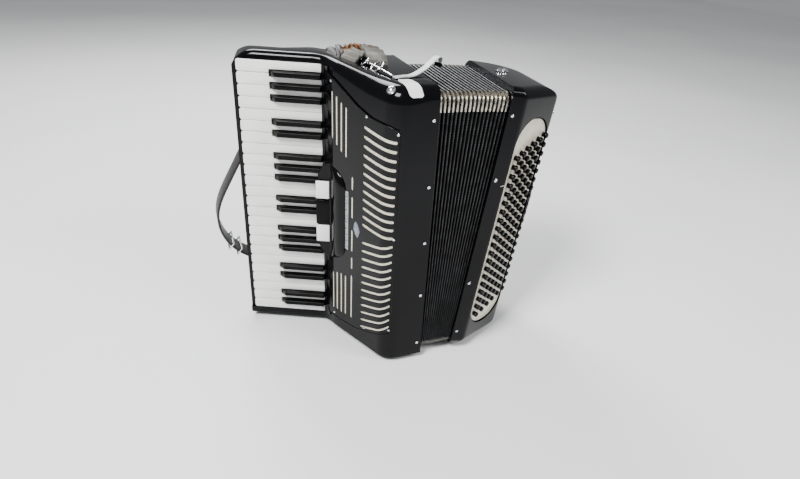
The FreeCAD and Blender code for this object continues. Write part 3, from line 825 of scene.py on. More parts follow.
@dataclass
class TrebleCase:
    """Treble casing: sloped front that runs into the keyboard, rounded along its top."""

    layout: Layout
    palette: Palette
    flat: float = 44.2
    corner_r: float = 38.0
    slope: float = math.radians(64.3)
    outer_u: float = 146.0
    bed: float = 40.0
    rise: float = 15.0
    cheek: float = 42.0

    def front_line(self) -> list[tuple[float, float]]:
        """Plan of the front from the bellows to the keyboard's outer end, in millimetres.

        Returns:
            Points (x, y) in millimetres.
        """
        points = [(-x, CASE_FRONT) for x in np.linspace(0, self.flat, 12)]
        for a in np.linspace(0, self.slope, 26)[1:]:
            points.append((-self.flat - self.corner_r * math.sin(a),
                           CASE_FRONT + self.corner_r * (1.0 - math.cos(a))))
        x0, y0 = points[-1]
        for s in np.linspace(0, 116.0, 40)[1:]:
            points.append((x0 - math.cos(self.slope) * s, y0 + math.sin(self.slope) * s))
        x1, y1 = points[-1]
        c, s = math.cos(KEY_ANGLE), math.sin(KEY_ANGLE)
        end = (KEY_FOOT_X - 8 * c, KEY_FOOT_Y + 8 * s)
        elbow = (-136.5, 139.6)
        for t in np.linspace(0, 1, 9)[1:]:
            points.append(tuple((1 - t) ** 2 * p + 2 * t * (1 - t) * q + t * t * r
                                for p, q, r in zip((x1, y1), elbow, end)))
        for u in np.concatenate([np.linspace(8, 100, 16)[1:], np.linspace(100, self.outer_u, 34)[1:]]):
            points.append((KEY_FOOT_X - u * c, KEY_FOOT_Y + u * s))
        return points

    def back_y(self, x: float) -> float:
        """Back of the casing at x, in millimetres.

        Args:
            x: Place across the casing, in millimetres.

        Returns:
            Depth y in millimetres.
        """
        c, s = math.cos(KEY_ANGLE), math.sin(KEY_ANGLE)
        outer = (KEY_FOOT_X - self.outer_u * c, KEY_FOOT_Y + self.outer_u * s)
        bed = (outer[0] + self.bed * s, outer[1] + self.bed * c)
        if x < bed[0]:
            return outer[1] + (bed[1] - outer[1]) * (x - outer[0]) / (bed[0] - outer[0])
        return max(CASE_BACK, bed[1] - (x - bed[0]) * s / c)

    def top_z(self, x: float) -> float:
        """Height of the top at x: level by the bellows, higher and arched over the keyboard."""
        z = CASE_H + self.rise * smooth_step((-x - 62.0) / 88.0)
        reach = self.cheek
        start = KEY_FOOT_X - (self.outer_u - reach) * math.cos(KEY_ANGLE)
        d = min(max((start - x) / math.cos(KEY_ANGLE), 0.0), reach)
        return z - reach + math.sqrt(max(reach * reach - d * d, 0.0))

    def round_r(self, x: float) -> float:
        """Radius of the front top edge at x."""
        return 11.0 + 15.0 * smooth_step((x + 150.0) / 80.0) - 6.0 * smooth_step((x + 45.0) / 35.0)

    def shell(self) -> bpy.types.Object:
        """Closed outer body of the casing.

        Returns:
            The body.
        """
        front = self.front_line()
        tangents = np.gradient(np.array(front), axis=0)
        tangents /= np.linalg.norm(tangents, axis=1)[:, None]
        inward = np.stack([-tangents[:, 1], tangents[:, 0]], axis=1) * -1.0
        steps = 9
        rows = []
        for (x, y), n in zip(front, inward):
            r = self.round_r(x)
            inner_x = x + n[0] * r
            top = self.top_z(min(inner_x, 0.0))
            row = [(x, y, 0.0)]
            for k in range(steps + 1):
                a = math.pi / 2 * k / steps
                o = r * (1 - math.cos(a))
                row.append((min(x + n[0] * o, 0.0), y + n[1] * o, top - r + r * math.sin(a)))
            back = self.back_y(min(inner_x, 0.0))
            rb = 5.0
            for k in range(5):
                a = math.pi / 2 * (1 - k / 4)
                o = rb * (1 - math.cos(a))
                row.append((min(inner_x, 0.0), max(back - o, row[steps + 1][1]),
                            top - rb + rb * math.sin(a)))
            row.append((min(inner_x, 0.0), back, 0.0))
            rows.append(row)
        points = [self.layout.at(*p) for row in rows for p in row]
        width = len(rows[0])
        return mesh_piece("treble_case", points, tube_faces(len(rows), width), [self.palette["case"]], 30.0)

    def build(self) -> None:
        """Build the casing, with the space for the keys cut out."""
        body = self.shell()
        section = [(-9.6, -9.6), (160, -9.6), (160, 4), (139.4, 4), (139.4, 24), (-9.6, 24)]
        low = [self.layout.key(u, t, 12.4) for u, t in section]
        high = [self.layout.key(u, t, 488.8) for u, t in section]
        carve(body, prism("key_space", low, high, [self.palette["case"]]))
        tidy_mesh(body, 30.0)
        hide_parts("treble_casing")
        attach(body, TREBLE)
        LOG.info("treble casing: %d faces", len(body.data.polygons))


def build_stage(layout: Layout) -> None:
    """Pale floor, soft studio lights and the camera.

    Args:
        layout: Places and turns taken from the frame.
    """
    floor = mesh_piece("floor", [(-6, -6, 0), (6, -6, 0), (6, 8, 0), (-6, 8, 0)], [(0, 1, 2, 3)],
                       [Plastic("pale_floor", "e9eaeb", "f2f2f2", 0.8, 900.0, 0.0, 5.0, 0.0).build()])
    world = bpy.data.worlds.new("studio")
    world.use_nodes = True
    world.node_tree.nodes["Background"].inputs["Color"].default_value = linear("f4f6f8")
    world.node_tree.nodes["Background"].inputs["Strength"].default_value = 0.34
    bpy.context.scene.world = world
    aim = layout.at(-40, 60, 260)
    for name, place, size, power in (("key_light", (-1.3, -1.0, 2.3), 0.8, 120.0),
                                     ("fill_light", (1.9, -1.6, 1.9), 0.9, 52.0),
                                     ("back_light", (-0.2, 1.9, 2.2), 1.1, 80.0)):
        light = bpy.data.lights.new(name, "AREA")
        light.size = size
        light.energy = power
        lamp = bpy.data.objects.new(name, light)
        lamp.location = place
        lamp.rotation_mode = "QUATERNION"
        lamp.rotation_quaternion = (Vector(place) - aim).to_track_quat("Z", "Y")
        bpy.context.scene.collection.objects.link(lamp)
    camera = bpy.data.objects.new("camera", bpy.data.cameras.new("camera"))
    camera.data.sensor_width = 36.0
    camera.data.lens = 26.2
    camera.data.shift_x = -0.0148
    camera.data.shift_y = -0.0069
    right, up, back = Vector((0.93531, -0.34906, 0.05789)), Vector((0.1192, 0.4648, 0.8774)), \
        Vector((-0.33315, -0.81370, 0.47634))
    turn = Matrix((right, up, back)).transposed()
    camera.rotation_mode = "QUATERNION"
    camera.rotation_quaternion = turn.to_quaternion()
    camera.location = (-0.3098, -0.90525, 0.70806)
    bpy.context.scene.collection.objects.link(camera)
    bpy.context.scene.camera = camera


def refined(node: str, material: bpy.types.Material, slot: str, body: str,
            bevel_mm: float = 0.0) -> bpy.types.Object:
    """Clean copy of a CAD node with merged points, rounded edges and its finish.

    Args:
        node: CAD node to stand for.
        material: finish.
        slot: record slot of the finish; not used.
        body: body it rides on.
        bevel_mm: edge rounding, none when zero.

    Returns:
        The new piece.
    """
    mesh = frame["nodes"][node].data.copy()
    mesh.materials.clear()
    mesh.materials.append(material)
    obj = bpy.data.objects.new(node + "_shown", mesh)
    bpy.context.scene.collection.objects.link(obj)
    for polygon in mesh.polygons:
        polygon.material_index = 0
    tidy_mesh(obj, 35.0, 2e-5)
    if bevel_mm:
        bm = bmesh.new()
        bm.from_mesh(mesh)
        bmesh.ops.dissolve_limit(bm, angle_limit=math.radians(1.0), verts=bm.verts, edges=bm.edges)
        bm.to_mesh(mesh)
        bm.free()
        bevelled(obj, bevel_mm)
    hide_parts(node)
    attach(obj, body)
    return obj


@dataclass
class Grille:
    """Front grille: pierced lacquered plate with cream cloth behind, key lip, emblem, trim and screws."""

    layout: Layout
    palette: Palette
    case: TrebleCase
    top: tuple = ((-140, 486), (-132, 479), (-125, 471), (-117, 461), (-103, 444), (-89, 433), (-74, 430),
                  (-58, 424))
    bottom: tuple = ((-140, 21), (-116, 22), (-100, 26), (-85, 37), (-73, 47), (-58, 56))
    thick: float = 2.0

    def span(self, x: float) -> tuple[float, float]:
        """Lowest and highest point of the grille at x."""
        return (float(np.interp(x, *zip(*self.bottom))), float(np.interp(x, *zip(*self.top))))

    def on_front(self, x: float, z: float, out: float) -> tuple[Vector, Vector]:
        """Point at x, z of the front, raised by out, and its outward direction.

        Args:
            x: Place across the casing, in millimetres.
            z: Height in millimetres.
            out: Height off the front, in millimetres.

        Returns:
            The point and the direction.
        """
        line = self.case.front_line()
        for (x0, y0), (x1, y1) in zip(line, line[1:]):
            if x1 <= x <= x0:
                t = (x0 - x) / max(x0 - x1, 1e-9)
                n = Vector((y1 - y0, -(x1 - x0), 0)).normalized() * -1.0
                return self.layout.at(x + n.x * out, y0 + (y1 - y0) * t + n.y * out, z), n
        raise ValueError(f"no front at x {x}")

    def skin(self, name: str, out: tuple[float, float], margin: float,
             material: bpy.types.Material) -> bpy.types.Object:
        """Sheet that follows the front within the grille's outline, between two heights off it.

        Args:
            name: Name of the piece.
            out: Height off the front, in millimetres.
            margin: Distance kept inside the grille's outline, in millimetres.
            material: Its material.

        Returns:
            The sheet.
        """
        xs = np.linspace(-58.0 - margin, -134.5 + margin, 64)
        rows = []
        for x in xs:
            low, high = self.span(x)
            edge = ((low + margin, out[1]), (high - margin, out[1]),
                    (high - margin, out[0]), (low + margin, out[0]))
            rows.append([self.on_front(x, z, o)[0] for z, o in edge])
        return mesh_piece(name, [p for row in rows for p in row], tube_faces(len(rows), 4), [material],
                          25.0)

    def slot_tool(self) -> bpy.types.Object:
        """All sound slots as one cutting solid.

        Returns:
            The solid.
        """
        points, faces = [], []

        def block(ring: Sequence[Vector], reach: Vector) -> None:
            """Add one slot, from a ring of its edge and how far it reaches out of it."""
            first, n = len(points), len(ring)
            points.extend([p - reach * 0.25 for p in ring] + [p + reach for p in ring])
            faces.append([first + i for i in range(n)][::-1])
            faces.append([first + n + i for i in range(n)])
            faces.extend([first + i, first + (i + 1) % n, first + n + (i + 1) % n, first + n + i]
                         for i in range(n))

        for left, right, left_pitch, sag in ((415.0, 405.0, 15.2, 2.6), (213.0, 229.0, 15.9, 1.4)):
            for i in range(12):
                z_left, z_right = left - left_pitch * i, right - 14.6 * i
                middle = []
                for k in range(13):
                    f = k / 12
                    middle.append((-98.0 + 34.0 * f,
                                   z_left + (z_right - z_left) * f - sag * 4 * f * (1 - f)))
                rise = [1.6] + [2.7] * 12
                upper = [self.layout.at(x, -30, z + h) for (x, z), h in zip(middle, rise)]
                lower = [self.layout.at(x, -30, z - h) for (x, z), h in zip(middle, rise)]
                upper.append(self.layout.at(-62.6, -30, z_right + 1.4))
                lower.append(self.layout.at(-62.6, -30, z_right - 1.4))
                block(upper + lower[::-1], Vector((0, 0.1, 0)))
        bars = [(-129.0, z0, z1) for z0, z1 in ((375, 453), (39, 120))]
        bars += [(-124.5, z0, z1) for z0, z1 in ((366, 447), (41, 124))]
        bars += [(-119.5, z0, z1) for z0, z1 in ((358, 440), (40, 127))]
        bars += [(-114.5, z0, z1) for z0, z1 in ((352, 435), (42, 127))]
        bars += [(-107.5, z0, z1) for z0, z1 in ((300, 324), (248, 288), (184, 226), (148, 172), (43, 135))]
        for x, z0, z1 in bars:
            foot, n = self.on_front(x, z0, 6.0)
            side = n.cross(Vector((0, 0, 1)))
            ring = []
            for centre, start in ((z1 - 2.1, 0), (z0 + 2.1, 180)):
                for k in range(5):
                    a = math.radians(start + 45 * k)
                    ring.append(foot + side * 2.1 * MM * math.cos(a)
                                + Vector((0, 0, 1)) * (centre - z0 + 2.1 * math.sin(a)) * MM)
            block(ring, n * -12 * MM)
        return mesh_piece("slot_tool", points, faces, [])

    def plate(self) -> None:
        """Pierced plate with the lip over the inner ends of the keys."""
        body = self.skin("treble_grille_plate", (0.9, self.thick), 0.0, self.palette["grille"])
        carve(body, self.slot_tool())
        tidy_mesh(body, 25.0)
        section = [(-9.8, -13.0), (-6.5, -8.6), (-3.5, -5.6), (-0.5, -3.7), (0.9, -3.2), (1.4, -2.6),
                   (1.4, -1.2),
                   (-9.8, -1.2)]
        lip = prism("key_lip", [self.layout.key(u, t, 13.2) for u, t in section],
                    [self.layout.key(u, t, 488.0) for u, t in section], [self.palette["grille"]])
        body = join("treble_grille_plate", [body, lip])
        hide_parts("treble_grille")
        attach(body, TREBLE)

    def hood(self) -> None:
        """Boat-shaped hood over the tabs, full in the middle and rounded at its ends."""
        profile = [(9.5, -10.8), (9.5, -12.2), (8.6, -13.2), (6, -13.5), (-8, -13.7), (-12.5, -14.2),
                   (-14.2, -15.6),
                   (-15, -19), (-16.8, -25), (-19.5, -31), (-23, -36), (-27.5, -40.2), (-33, -43.4),
                   (-38.5, -45.1), (-42.5, -45.2), (-43.5, -43.5), (-41, -36), (-20, -16), (-9, -10.8)]
        rows, points = 49, []
        for i in range(rows):
            share = -math.cos(math.pi * i / (rows - 1))
            past = max(abs(share) - 0.6, 0.0) / 0.4
            size = max(math.sqrt(max(1 - past * past, 0.0)), 0.03)
            for u, t in profile:
                points.append(self.layout.key(u * size - 13.0 * (1 - size), t * size - 14.5 * (1 - size),
                                              239.0 + 89.0 * share))
        hood = mesh_piece("register_hood", points, tube_faces(rows, len(profile)), [self.palette["hood"]],
                          40.0)
        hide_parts("register_housing")
        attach(hood, TREBLE)

    def screws(self, stamp: Stamp) -> None:
        """Domed grille screws along the borders.

        Args:
            stamp: Tree that sets copies of a template.
        """
        template = lathe("screw", [(2.3, -0.4), (2.3, 0.2), (1.7, 0.8), (0.8, 1.1)], 12)
        places = [self.on_front(x, z, 2.0) for x, z in ((-130, 468), (-94, 432), (-61, 418), (-62, 62),
                                                        (-92, 40), (-128, 30), (-60.5, 243))]
        piece = stamp.place("grille_screws", [p for p, _ in places], [n for _, n in places], template,
                            self.palette["chrome"])
        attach(piece, TREBLE)

    def trim(self, bead: Bead) -> None:
        """Raised bead round the plate and the etched strip beside the hood.

        Args:
            bead: Tree that sweeps a round bead along a path.
        """
        low = [self.on_front(x, self.span(x)[0] + 1.2, 2.0)[0] for x in np.linspace(-134, -59.2, 40)]
        high = [self.on_front(x, self.span(x)[1] - 1.2, 2.0)[0] for x in np.linspace(-59.2, -134, 40)]
        border = bead.run("grille_border_bead", [low + high], 1.0, self.palette["grille"])
        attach(border, TREBLE)
        frame_points = [self.on_front(x, z, 2.1)[0] for x, z in ((-115.2, 184), (-115.2, 294),
                                                                 (-111.2, 294),
                                                                 (-111.2, 184))]
        back = [self.on_front(x, z, 2.6)[0] for x, z in ((-115.2, 184), (-115.2, 294), (-111.2, 294),
                                                         (-111.2, 184))]
        strip = prism("etched_strip", frame_points, back, [self.palette["silver"]])
        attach(strip, TREBLE)
        rungs = [[self.on_front(-114.4, z, 2.7)[0], self.on_front(-112.0, z + lean, 2.7)[0]]
                 for k, z in enumerate(np.linspace(187, 290, 27)) for lean in ((2.6, -2.6, 0.0)[k % 3],)]
        pattern = bead.run("etched_strip_pattern", rungs, 0.35, self.palette["felt"])
        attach(pattern, TREBLE)

    def emblem(self) -> None:
        """Faceted oval lens in the middle gap, with no mark on it."""
        points, steps = [], 24
        middle, n = self.on_front(-102.0, 232.5, 2.0)
        up = Vector((0, 0, 1))
        side = n.cross(up).normalized()
        for r, h in ((1.0, -0.6), (1.0, 0.6), (0.86, 1.6), (0.45, 2.4)):
            for i in range(steps):
                a = 2 * math.pi * i / steps
                squeeze = 1.0 / (abs(math.cos(a)) ** 1.3 + abs(math.sin(a)) ** 1.3) ** (1 / 1.3)
                lean = 0.25 * math.sin(a) * squeeze
                points.append(middle + (side * (math.cos(a) * 8.0 * squeeze + lean * 8.0)
                                        + up * math.sin(a) * 15.0 * squeeze) * r * MM + n * h * MM)
        lens = mesh_piece("grille_emblem", points, tube_faces(4, steps), [self.palette["emblem"]], 12.0)
        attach(lens, TREBLE)

    def build(self, stamp: Stamp, bead: Bead) -> None:
        """Build the grille, the cloth and what is fixed to them.

        Args:
            stamp: Tree that sets copies of a template.
            bead: Tree that sweeps a round bead along a path.
        """
        self.plate()
        cloth = self.skin("grille_cloth", (0.2, 0.8), 4.0, self.palette["cloth"])
        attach(cloth, TREBLE)
        self.hood()
        for i, tone in enumerate(("tab_white", "ebony", "tab_white"), 1):
            refined(f"register_tab_{i}", self.palette[tone], "tab_black" if i == 2 else "tab_white",
                    f"register_tab_{i}", 0.7)
        self.screws(stamp)
        self.trim(bead)
        self.emblem()
        LOG.info("grille, cloth, hood and tabs")


@dataclass
class Bellows:
    """Seventeen folds in the shape the open fan gives them, with liners that close the inside."""

    layout: Layout
    palette: Palette
    depth: float = 22.0
    foot_z: float = 12.0
    y: tuple[float, float] = (-6.0, 198.0)
    z: tuple[float, float] = (5.0, 475.0)
    corner: float = 14.0

    def centre(self) -> tuple[float, float]:
        """Middle of the ring in (y, z)."""
        return sum(self.y) / 2, sum(self.z) / 2

    def ring(self, inset: float) -> list[tuple[float, float, float]]:
        """Rounded rectangle in (y, z) with a corner mark, inset by some millimetres.

        Args:
            inset: Distance in from the outline, in millimetres.

        Returns:
            Points (y, z, corner mark).
        """
        r = max(self.corner - inset, 2.0)
        y0, y1, z0, z1 = self.y[0] + inset, self.y[1] - inset, self.z[0] + inset, self.z[1] - inset
        out = []
        for cy, cz, start in ((y1 - r, z1 - r, 0), (y0 + r, z1 - r, 90), (y0 + r, z0 + r, 180),
                              (y1 - r, z0 + r, 270)):
            for k in range(7):
                a = math.radians(start + 15 * k)
                out.append((cy + r * math.cos(a), cz + r * math.sin(a), 1.0))
            y_end, z_end = out[-1][0], out[-1][1]
            goal = {0: (y0 + r, z1), 90: (y0, z0 + r), 180: (y1 - r, z0), 270: (y1, z1 - r)}[start]
            length = abs(goal[0] - y_end) + abs(goal[1] - z_end)
            near = (14.0 if start in (90, 270) else 7.0) / length
            out += [(y_end + (goal[0] - y_end) * t, z_end + (goal[1] - z_end) * t, 0.0)
                    for t in np.linspace(near, 1 - near, 13)]
        return out

    def fanned(self, share: float, y: float, z: float) -> Vector:
        """Ring point set out along the row and turned by its share of the fan angle."""
        foot = self.layout.at(BELLOWS_REST * share, 0.0, self.foot_z)
        arm = Vector((0.0, y, z - self.foot_z)) * MM
        return foot + Quaternion(self.layout.axis, FAN_ANGLE * share) @ arm

    def sheet(self, name: str, profile: Sequence[tuple[float, float]], regions: Sequence[Region],
              materials: Sequence[bpy.types.Material]) -> bpy.types.Object:
        """Closed ring swept with a profile of (share, inset) points.

        Args:
            name: Name of the piece.
            profile: Points of the profile.
            regions: Region of each ring of faces.
            materials: Materials of its slots.

        Returns:
            The ring.
        """
        rings = [[self.fanned(f, y, z) for y, z, _ in self.ring(d)] for f, d in profile]
        n, m = len(rings[0]), len(rings)
        points = [p for ring in rings for p in ring]
        faces = [[k * n + i, k * n + (i + 1) % n, ((k + 1) % m) * n + (i + 1) % n, ((k + 1) % m) * n + i]
                 for k in range(m) for i in range(n)]
        obj = mesh_piece(name, points, faces, materials, 25.0)
        spots = np.zeros((m, n), np.int32)
        front = [y < self.y[0] + 4.0 and z < self.z[1] - 27.0 or z < self.z[0] + 4.0
                 for y, z, _ in self.ring(0.0)]
        for k, region in enumerate(regions):
            spots[k] = region.value
            if region is Region.BINDING:
                spots[k][np.array(front)] = Region.CLOTH.value
            if region is Region.DOTTED:
                spots[k][~np.array(front)] = Region.BINDING.value
        obj.data.polygons.foreach_set("material_index", spots.ravel())
        return obj

    def span(self, index: int) -> tuple[str, str, float, float]:
        """Bodies a fold bends between, and the weight at its middle and its slope per share."""
        first = index < FAN_FOLDS
        part = FAN_FOLDS / FOLDS if first else 1.0 - FAN_FOLDS / FOLDS
        middle = (index + 0.5) / FOLDS - (0.0 if first else FAN_FOLDS / FOLDS)
        bodies = (TREBLE, BELLOWS) if first else (BELLOWS, BASS)
        return bodies[0], bodies[1], middle / part, part

    def bend(self, obj: bpy.types.Object, index: int) -> None:
        """Bake one fold's placement into its mesh; its share of the joint's motion is worked out but not
        applied.

        Args:
            obj: Mesh object to work on.
            index: Number of the fold, from 0 at the treble side.
        """
        a, b, weight, part = self.span(index)
        low, high = 0.0, 1.0
        for _ in range(50):
            t = (low + high) / 2
            low, high = (t, high) if t * t * (3 - 2 * t) < weight else (low, t)
        share = (index + 0.5) / FOLDS
        middle = self.fanned(share, *self.centre())
        normal = Quaternion(self.layout.axis, FAN_ANGLE * share) @ Vector((1, 0, 0))
        length = (self.fanned(1.0, *self.centre())
                  - self.fanned(0.0, *self.centre())).dot(normal)
        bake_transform(obj)

    def fold(self, index: int) -> bpy.types.Object:
        """One fold: cloth panels, bound edge and its inner faces.

        Args:
            index: Number of the fold, from 0 at the treble side.

        Returns:
            The fold.
        """
        step = 1.0 / FOLDS
        f0, f1 = index * step, (index + 1) * step
        mid, half = (f0 + f1) / 2, step * 0.19
        thin = step * 0.12
        d = self.depth
        profile = [(f0, d), (mid - half, 1.3), (mid - half * 0.9, 0.1), (mid - half * 0.35, 0.0),
                   (mid + half * 0.35, 0.0), (mid + half * 0.9, 0.1), (mid + half, 1.3), (f1, d),
                   (f1 - thin, d + 1.5), (mid, 3.5), (f0 + thin, d + 1.5)]
        cloth, bind, line = Region.CLOTH, Region.BINDING, Region.DOTTED
        regions = [cloth, cloth, bind, line, bind] + [cloth] * 6
        return self.sheet(f"bellows_fold_{index + 1:02d}", profile, regions,
                          [self.palette["bellows"], self.palette["binding"], self.palette["dotted"]])

    def corners(self, index: int) -> bpy.types.Object:
        """Metal corner guards of one fold, over its bound edge.

        Args:
            index: Number of the fold, from 0 at the treble side.

        Returns:
            The guards as one object.
        """
        step = 1.0 / FOLDS
        mid, half = (index + 0.5) * step, step * 0.36
        parts = []
        n = len(self.ring(-0.35))
        # the lower two guards are shorter and take the darker nickel copy, which is painted shade
        for corner, lower_shaded in ((0, False), (1, False), (2, True), (3, True)):
            start = corner * 20
            picks = [(start + k) % n for k in (range(0, 7) if lower_shaded else range(-1, 8))]
            profile = [(mid - half, 7.0), (mid - half * 0.55, -0.35), (mid + half * 0.55, -0.35),
                       (mid + half, 7.0),
                       (mid + half * 0.8, 7.6), (mid, 1.0), (mid - half * 0.8, 7.6)]
            rings = [[self.fanned(f, *self.ring(d)[i][:2]) for i in picks] for f, d in profile]
            m, w = len(rings), len(picks)
            points = [p for ring in rings for p in ring]
            faces = [[k * w + i, k * w + i + 1, ((k + 1) % m) * w + i + 1, ((k + 1) % m) * w + i]
                     for k in range(m) for i in range(w - 1)]
            faces += [[k * w for k in range(m)][::-1], [k * w + w - 1 for k in range(m)]]
            tone = self.palette["corner_painted_shade" if lower_shaded else "corner"]
            parts.append(mesh_piece(f"corner_{corner}", points, faces, [tone], 30.0))
        return join(f"bellows_corners_{index + 1:02d}", parts)

    def liner(self, name: str, first: float, last: float, a: str, b: str) -> None:
        """Smooth inner tube that keeps the bellows closed when the folds part.

        Args:
            name: Name of the piece.
            first: Share of the bellows at which it starts.
            last: Share of the bellows at which it ends.
            a: Body meant to hold its start; not used.
            b: Body meant to hold its end; not used.
        """
        shares = np.linspace(first, last, 25)
        d = self.depth + 0.8
        profile = [(f, d) for f in shares] + [(f, d + 1.2) for f in shares[::-1]]
        tube = self.sheet(name, profile, [Region.CLOTH] * len(profile), [self.palette["felt"]])
        middle = [self.fanned(f, *self.centre()) for f in (first, last)]
        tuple(middle[0])
        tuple(middle[1])
        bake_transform(tube)

    def build(self) -> None:
        """Build the folds, their corners and the liners."""
        for index in range(FOLDS):
            piece = self.fold(index)
            guards = self.corners(index)
            self.bend(piece, index)
            self.bend(guards, index)
            if index == 0:
                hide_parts("bellows")
        cut = FAN_FOLDS / FOLDS
        self.liner("bellows_liner_fan", 0.0, cut, TREBLE, BELLOWS)
        self.liner("bellows_liner_stretch", cut, 1.0, BELLOWS, BASS)
        LOG.info("bellows: %d folds", FOLDS)


@dataclass
class BassCase:
    """Bass casing with the slanted front, its button board and buttons."""

    layout: Layout
    palette: Palette
    width: float = 112.0
    slant_y: float = 44.5
    edges: tuple[float, ...] = (14.0, 18.0, 44.0, 32.0, 0.0)
    plan: tuple[float, ...] = (0.0, 14.0, 13.0, 30.0, 0.0)
    board: tuple[float, float] = (1.5, 101.0)
    board_z: tuple[float, float] = (38.0, 438.0)
    board_r: float = 44.0

    def ring(self, level: float) -> list[tuple[float, float, float]]:
        """Plan points and drop below the top at one level of the rounding, from 0 (wall) to 1 (top face).

        Args:
            level: Level of the rounding, from 0 to 1.

        Returns:
            Points (x, y, drop) in millimetres.
        """
        corners = [Vector(c) for c in ((0.0, CASE_FRONT), (STRIP_WIDTH, CASE_FRONT),
                                       (self.width, self.slant_y),
                                       (self.width, CASE_BACK), (0.0, CASE_BACK))]
        edges, plan = self.edges, self.plan
        a = math.pi / 2 * level
        count = len(corners)
        lines = []
        for i in range(count):
            p, q = corners[i], corners[(i + 1) % count]
            n = Vector((-(q - p).y, (q - p).x)).normalized()
            lines.append((p + n * edges[i] * (1 - math.cos(a)), (q - p).normalized()))
        moved = []
        for i in range(count):
            (p, d), (q, e) = lines[i - 1], lines[i]
            s = ((q - p).x * e.y - (q - p).y * e.x) / (d.x * e.y - d.y * e.x)
            moved.append(p + d * s)
        out = []
        for i in range(count):
            before, here, after = moved[i - 1], moved[i], moved[(i + 1) % count]
            u, v = (before - here).normalized(), (after - here).normalized()
            half = u.angle(v) / 2
            r = plan[i] + (0.75 * (edges[i - 1] + edges[i]) / 2 * (1 - math.cos(a)) if plan[i] else 0.0)
            for k in range(11 if plan[i] else 1):
                t = k / 10
                if not plan[i]:
                    out.append((here.x, here.y, max(edges[i - 1], edges[i]) * (1 - math.sin(a))))
                    continue
                drop = edges[i - 1] + (edges[i] - edges[i - 1]) * smooth_step(t)
                cut = r / math.tan(half)
                centre = here + (u + v).normalized() * (r / math.sin(half))
                start, end, turn = here + u * cut - centre, here + v * cut - centre, math.pi - 2 * half
                w = (start * math.sin((1 - t) * turn) + end * math.sin(t * turn)) / math.sin(turn)
                out.append((centre.x + w.x, centre.y + w.y, drop * (1 - math.sin(a))))
        full = []
        for j, (x0, y0, d0) in enumerate(out):
            x1, y1, d1 = out[(j + 1) % len(out)]
            parts = 12 if j in (0, 11, 22, 33) else 1
            full += [(x0 + (x1 - x0) * k / parts, y0 + (y1 - y0) * k / parts,
                      d0 + (d1 - d0) * smooth_step(k / parts))
                     for k in range(parts)]
        return full

    def shell(self) -> bpy.types.Object:
        """Closed outer body of the casing.

        Returns:
            The body.
        """
        levels = [k / 10 for k in range(11)]
        points, width = [], len(self.ring(0.0))
        for level in levels[::-1]:
            points += [self.layout.bass(x, y, 3.0 + drop) for x, y, drop in self.ring(level)]
        for level in levels:
            points += [self.layout.bass(x, y, 486.0 - drop) for x, y, drop in self.ring(level)]
        return mesh_piece("bass_case", points, tube_faces(2 * len(levels), width), [self.palette["case"]],
                          30.0)

    def buttons(self, stamp: Stamp) -> None:
        """Rows of dished buttons.

        Args:
            stamp: Tree that sets copies of a template.
        """
        template = lathe("button", [(4.3, -9.2), (4.3, -5.1), (4.8, -4.9), (4.8, -1.8), (4.3, -0.7),
                                    (3.2, -0.1), (1.4, 0.2)], 14)
        places = [self.layout.slant(15.3 + 14.96 * row, 7.0, 372.7 - 16.04 * col + 6.41 * row)
                  for row in range(6) for col in range(20)]
        normal = (self.layout.slant(0, 1, 0) - self.layout.slant(0, 0, 0)).normalized()
        piece = stamp.place("bass_buttons_shown", places, [normal] * len(places), template,
                            self.palette["button"])
        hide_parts("bass_buttons")
        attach(piece, "bass_button_set")

    def build(self, stamp: Stamp) -> None:
        """Build the casing with its recess, the board and the buttons.

        Args:
            stamp: Tree that sets copies of a template.
        """
        body = self.shell()
        outline = []
        middle, half = sum(self.board) / 2, (self.board[1] - self.board[0]) / 2
        for z_mid, start in ((self.board_z[1] - self.board_r, 0), (self.board_z[0] + self.board_r, 180)):
            for k in range(25):
                a = math.radians(start + 180 * k / 24)
                outline.append((middle + half * math.cos(a), z_mid + self.board_r * math.sin(a)))
        low = [self.layout.slant(a, -7.5, z) for a, z in outline]
        high = [self.layout.slant(a, 30.0, z) for a, z in outline]
        carve(body, prism("board_space", low, high, [self.palette["case"]]))
        tidy_mesh(body, 30.0)
        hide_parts("bass_casing")
        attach(body, BASS)
        refined("bass_button_board", self.palette["cream"], "button_board", BASS, 0.4)
        refined("air_button", self.palette["chrome"], "steel", "air_release", 0.6)
        self.buttons(stamp)
        LOG.info("bass casing, board and buttons")


@dataclass
class Keys:
    """Ivory and ebony keys with softened edges."""

    palette: Palette

    def dress(self) -> None:
        """Give every key its finish and rounded edges."""
        for kind, tone, slot, bevel in (("white_key", "ivory", "white_keys", 0.7),
                                        ("black_key", "ebony", "black_keys", 0.9)):
            for node in sorted(n for n in frame["nodes"] if n.startswith(kind)):
                refined(node, self.palette[tone], slot, node, bevel)
        LOG.info("keys dressed")


